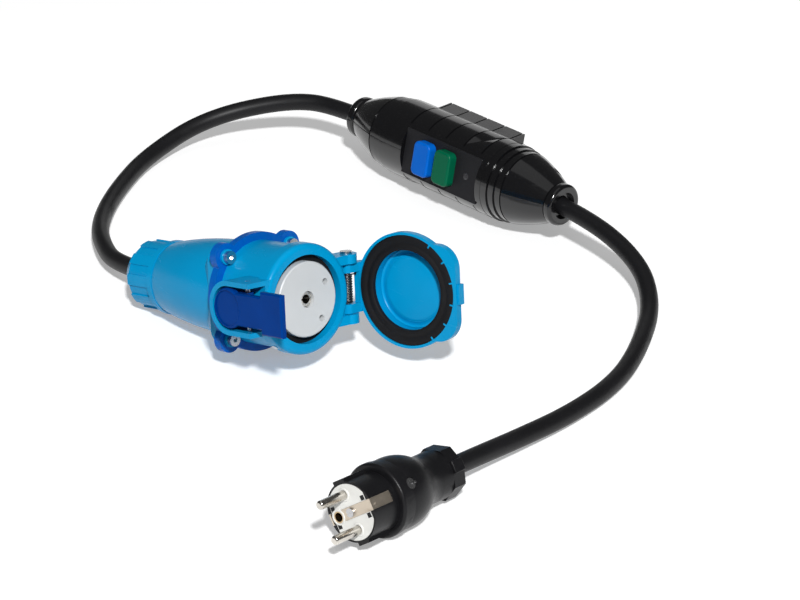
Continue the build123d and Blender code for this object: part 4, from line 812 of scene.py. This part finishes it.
class LEAD_OT_latch_pad(Operator):
    """Add the rim round the latch's thumb pad"""
    bl_idname = "lead.latch_pad"
    bl_label = "Latch pad"

    def execute(self, context):
        radius = context.scene.coupler_sizes.pad_radius / MM
        points = []
        for step in range(PAD_STEPS):
            angle = math.tau * step / PAD_STEPS
            points.append((THUMB_X + radius * math.cos(angle), PAD_RIM_Y, radius * math.sin(angle)))
        mesh = tube_along("latch_pad_rim", points, PAD_RIM_RADIUS * MM, coupler_place(), closed=True)
        finished_object("latch_pad_rim", mesh, latch_blue(), "latch", smooth=TUBE_EDGE_ANGLE)
        return {"FINISHED"}


# Box details, in the box's own frame in millimetres; each cone swells a little between its ends

CONE_END_X = 82.6
CONE_START_X = 57.6
CONE_END_RADIUS = 12.25
CONE_START_RADIUS = 22.15
CONE_SWELL = 0.8
MIDDLE_SHARE = 0.5
SEAM_STEPS = 12


def seam_points(end, side):
    """The line where the two shells meet on one cone, on the front or the back."""
    points = []
    for step in range(SEAM_STEPS + 1):
        share = step / SEAM_STEPS
        x = CONE_END_X + (CONE_START_X - CONE_END_X) * share
        radius = CONE_END_RADIUS + (CONE_START_RADIUS - CONE_END_RADIUS) * share
        radius += CONE_SWELL * share * (1 - share) / MIDDLE_SHARE ** 2
        points.append((end * x, side * radius, 0))
    return points


class LEAD_OT_box_seams(Operator):
    """Add the parting seams on the box's cones"""
    bl_idname = "lead.box_seams"
    bl_label = "Box seams"

    def execute(self, context):
        radius = context.scene.box_sizes.seam_radius
        for end, end_name in ((-1, "left"), (1, "right")):
            for side, side_name in ((-1, "front"), (1, "back")):
                name = end_name + "_" + side_name + "_seam"
                mesh = tube_along(name, seam_points(end, side), radius, box_place())
                finished_object(name, mesh, black_gloss(), "assembly",
                                smooth=TUBE_EDGE_ANGLE)
        return {"FINISHED"}


# Plug details, in the plug's own frame in millimetres; X is zero on its face

# Painted shade: black blocks beside the earth strip stand in for the dark of the face's notches; they reach from
# inside the face to just proud of it, and nothing is cut
NOTCH_SHADE_Y = 11.3
NOTCH_SHADE_Z = 4.7
NOTCH_SHADE_BACK = -0.3
NOTCH_SHADE_FACE = 0.06

# Sections of the collars round a pin and round the earth hole, as X and radius
PIN_SIDE = 9.5
PIN_COLLAR = ((-0.2, 2.44), (0.25, 2.44), (0.4, 2.69), (0.4, 3.3), (0.05, 3.7), (-0.2, 3.7))
EARTH_Y = -9.6
EARTH_COLLAR = ((-0.2, 3.2), (0.3, 3.2), (0.4, 3.4), (0.4, 4.1), (-0.2, 4.4))
COLLAR_STEPS = 48

NUT_LUG_REAR = -73.6
NUT_LUG_FRONT = -65.5
NUT_LUG_FOOT = 11.8
NUT_LUG_RADIUS = 13.8
NUT_LUG_HALF = 3.4
NUT_LUG_ROUND = 0.5


class LEAD_OT_painted_notch_shade(Operator):
    """Add dark blocks beside the earth strip that paint the shade in the face's notches, and the collars round the
    pins and the earth hole
    """
    bl_idname = "lead.face_notches"
    bl_label = "Notch shade and collars"

    def execute(self, context):
        half = context.scene.plug_sizes.notch_shade_side / MM / 2
        # Painted shade: each notch is drawn as a plain black rubber block, not as a hollow
        bm = bmesh.new()
        for y in (-NOTCH_SHADE_Y, NOTCH_SHADE_Y):
            for z in (-NOTCH_SHADE_Z, NOTCH_SHADE_Z):
                add_prism(bm, rectangle(y - half, y + half, z - half, z + half), NOTCH_SHADE_BACK, NOTCH_SHADE_FACE)
        mesh = mesh_from(bm, "face_notches", plug_place())
        finished_object("face_notches", mesh, plug_rubber(), "assembly")
        bm = bmesh.new()
        for z in (-PIN_SIDE, PIN_SIDE):
            add_turned(bm, PIN_COLLAR, COLLAR_STEPS, (0, z))
        add_turned(bm, EARTH_COLLAR, COLLAR_STEPS, (EARTH_Y, 0))
        mesh = mesh_from(bm, "pin_collars", plug_place())
        finished_object("pin_collars", mesh, white_plastic(), "assembly")
        return {"FINISHED"}


class LEAD_OT_nut_lugs(Operator):
    """Add the two lugs on the plug's clamp nut"""
    bl_idname = "lead.nut_lugs"
    bl_label = "Nut lugs"

    def execute(self, context):
        height = context.scene.plug_sizes.lug_height / MM
        outline = rectangle(NUT_LUG_FOOT, NUT_LUG_RADIUS + height, -NUT_LUG_HALF, NUT_LUG_HALF)
        bm = bmesh.new()
        for angle in (0, math.pi):
            add_prism(bm, outline, NUT_LUG_REAR, NUT_LUG_FRONT, Matrix.Rotation(angle, 4, "X"))
        mesh = mesh_from(bm, "nut_lugs", plug_place())
        item = finished_object("nut_lugs", mesh, plug_rubber(), "assembly")
        rounded(item, NUT_LUG_ROUND * MM)
        return {"FINISHED"}


# Stage

AIM = (0.0647, -0.1279, 0.0)
CAMERA_AZIMUTH = math.radians(45)
CAMERA_ELEVATION = math.radians(27)
CAMERA_DISTANCE = 2.05
LENS = 160.56
FLOOR_SIDE = 12.0
FLOOR_COLOUR = (0.80, 0.80, 0.80, 1.0)
FLOOR_GLOW = 0.34
KEY_DIRECTION = (0.852, -0.689, 1.0)
KEY_DISTANCE = 8.0
KEY_SIZE = 0.5
TOP_HEIGHT = 1.5
TOP_SIZE = 1.2
BACK_PLACE = (-1.1, 1.35, 0.4)
BACK_SIZE = 0.9
WHITE = (1.0, 1.0, 1.0, 1.0)


def direction(azimuth, elevation):
    """From the object towards a viewer."""
    return Vector((math.cos(elevation) * math.sin(azimuth), -math.cos(elevation) * math.cos(azimuth),
                   math.sin(elevation)))


def lamp(name, place, size, power):
    """A square lamp aimed at the middle of the object."""
    data = bpy.data.lights.new(name, "AREA")
    data.size = size
    data.energy = power
    item = bpy.data.objects.new(name, data)
    item.location = place
    item.rotation_euler = (Vector(AIM) - Vector(place)).to_track_quat("-Z", "Y").to_euler()
    bpy.context.scene.collection.objects.link(item)


def floor_material():
    """A pale floor that reads as white to the camera and keeps the shadows."""
    material = bpy.data.materials.new("floor")
    material.use_nodes = True
    tree = material.node_tree
    shader = tree.nodes["Principled BSDF"]
    shader.inputs["Base Color"].default_value = FLOOR_COLOUR
    shader.inputs["Roughness"].default_value = 1.0
    shader.inputs["Specular IOR Level"].default_value = 0.0
    path = tree.nodes.new("ShaderNodeLightPath")
    seen = maths(tree, "MAXIMUM", path.outputs["Is Camera Ray"], path.outputs["Is Glossy Ray"])
    seen = maths(tree, "MAXIMUM", seen, path.outputs["Is Transmission Ray"])
    glow = maths(tree, "MULTIPLY", seen, FLOOR_GLOW)
    shader.inputs["Emission Color"].default_value = WHITE
    tree.links.new(glow, shader.inputs["Emission Strength"])
    return material


def plain_world(fill):
    """Even, weak surroundings."""
    world = bpy.data.worlds.new("surroundings")
    bpy.context.scene.world = world
    world.use_nodes = True
    background = world.node_tree.nodes["Background"]
    background.inputs["Color"].default_value = WHITE
    background.inputs["Strength"].default_value = fill


class LEAD_OT_stage(Operator):
    """Add the floor, the lamps and the camera"""
    bl_idname = "lead.stage"
    bl_label = "Stage"

    def execute(self, context):
        settings = context.scene.stage_settings
        half = FLOOR_SIDE / 2
        mesh = bpy.data.meshes.new("floor")
        mesh.from_pydata([(-half, -half, 0), (half, -half, 0), (half, half, 0), (-half, half, 0)], [],
                         [(0, 1, 2, 3)])
        mesh.materials.append(floor_material())
        floor = bpy.data.objects.new("floor", mesh)
        context.scene.collection.objects.link(floor)
        plain_world(settings.fill)
        key = Vector(AIM) + Vector(KEY_DIRECTION).normalized() * KEY_DISTANCE
        lamp("key_lamp", key, KEY_SIZE, settings.key_power)
        lamp("top_lamp", Vector(AIM) + Vector((0, 0, TOP_HEIGHT)), TOP_SIZE, settings.top_power)
        lamp("back_lamp", BACK_PLACE, BACK_SIZE, settings.back_power)
        data = bpy.data.cameras.new("camera")
        data.lens = LENS
        camera = bpy.data.objects.new("camera", data)
        view = direction(CAMERA_AZIMUTH, CAMERA_ELEVATION)
        camera.location = Vector(AIM) + view * CAMERA_DISTANCE
        camera.rotation_euler = (-view).to_track_quat("-Z", "Y").to_euler()
        context.scene.collection.objects.link(camera)
        context.scene.camera = camera
        context.scene.view_settings.view_transform = "Standard"
        return {"FINISHED"}


STEPS_IN_ORDER = (LEAD_OT_stage, LEAD_OT_cables, LEAD_OT_finishes, LEAD_OT_lid_gasket, LEAD_OT_lid_floor,
                  LEAD_OT_lid_clips, LEAD_OT_latch_pad, LEAD_OT_box_seams, LEAD_OT_painted_notch_shade,
                  LEAD_OT_nut_lugs)
SETTINGS = (("cable_sizes", CableSizes), ("coupler_sizes", CouplerSizes), ("box_sizes", BoxSizes),
            ("plug_sizes", PlugSizes), ("lead_colours", LeadColours), ("stage_settings", StageSettings))


class LEAD_PT_panel(Panel):
    """The adapter lead's sizes, colours and pieces"""
    bl_idname = "LEAD_PT_panel"
    bl_label = "Adapter lead"
    bl_space_type = "VIEW_3D"
    bl_region_type = "UI"
    bl_category = "Adapter lead"

    def draw(self, context):
        for name, group in SETTINGS:
            box = self.layout.box()
            for field in group.__annotations__:
                box.prop(getattr(context.scene, name), field)
        for step in STEPS_IN_ORDER:
            self.layout.operator(step.bl_idname)


def register():
    for name, group in SETTINGS:
        bpy.utils.register_class(group)
        setattr(bpy.types.Scene, name, PointerProperty(type=group))
    for step in STEPS_IN_ORDER:
        bpy.utils.register_class(step)
    bpy.utils.register_class(LEAD_PT_panel)


def unregister():
    bpy.utils.unregister_class(LEAD_PT_panel)
    for step in reversed(STEPS_IN_ORDER):
        bpy.utils.unregister_class(step)
    for name, group in reversed(SETTINGS):
        delattr(bpy.types.Scene, name)
        bpy.utils.unregister_class(group)


def main():
    register()
    for step in STEPS_IN_ORDER:
        family, name = step.bl_idname.split(".")
        getattr(getattr(bpy.ops, family), name)()


if __name__ == "__main__":
    main()
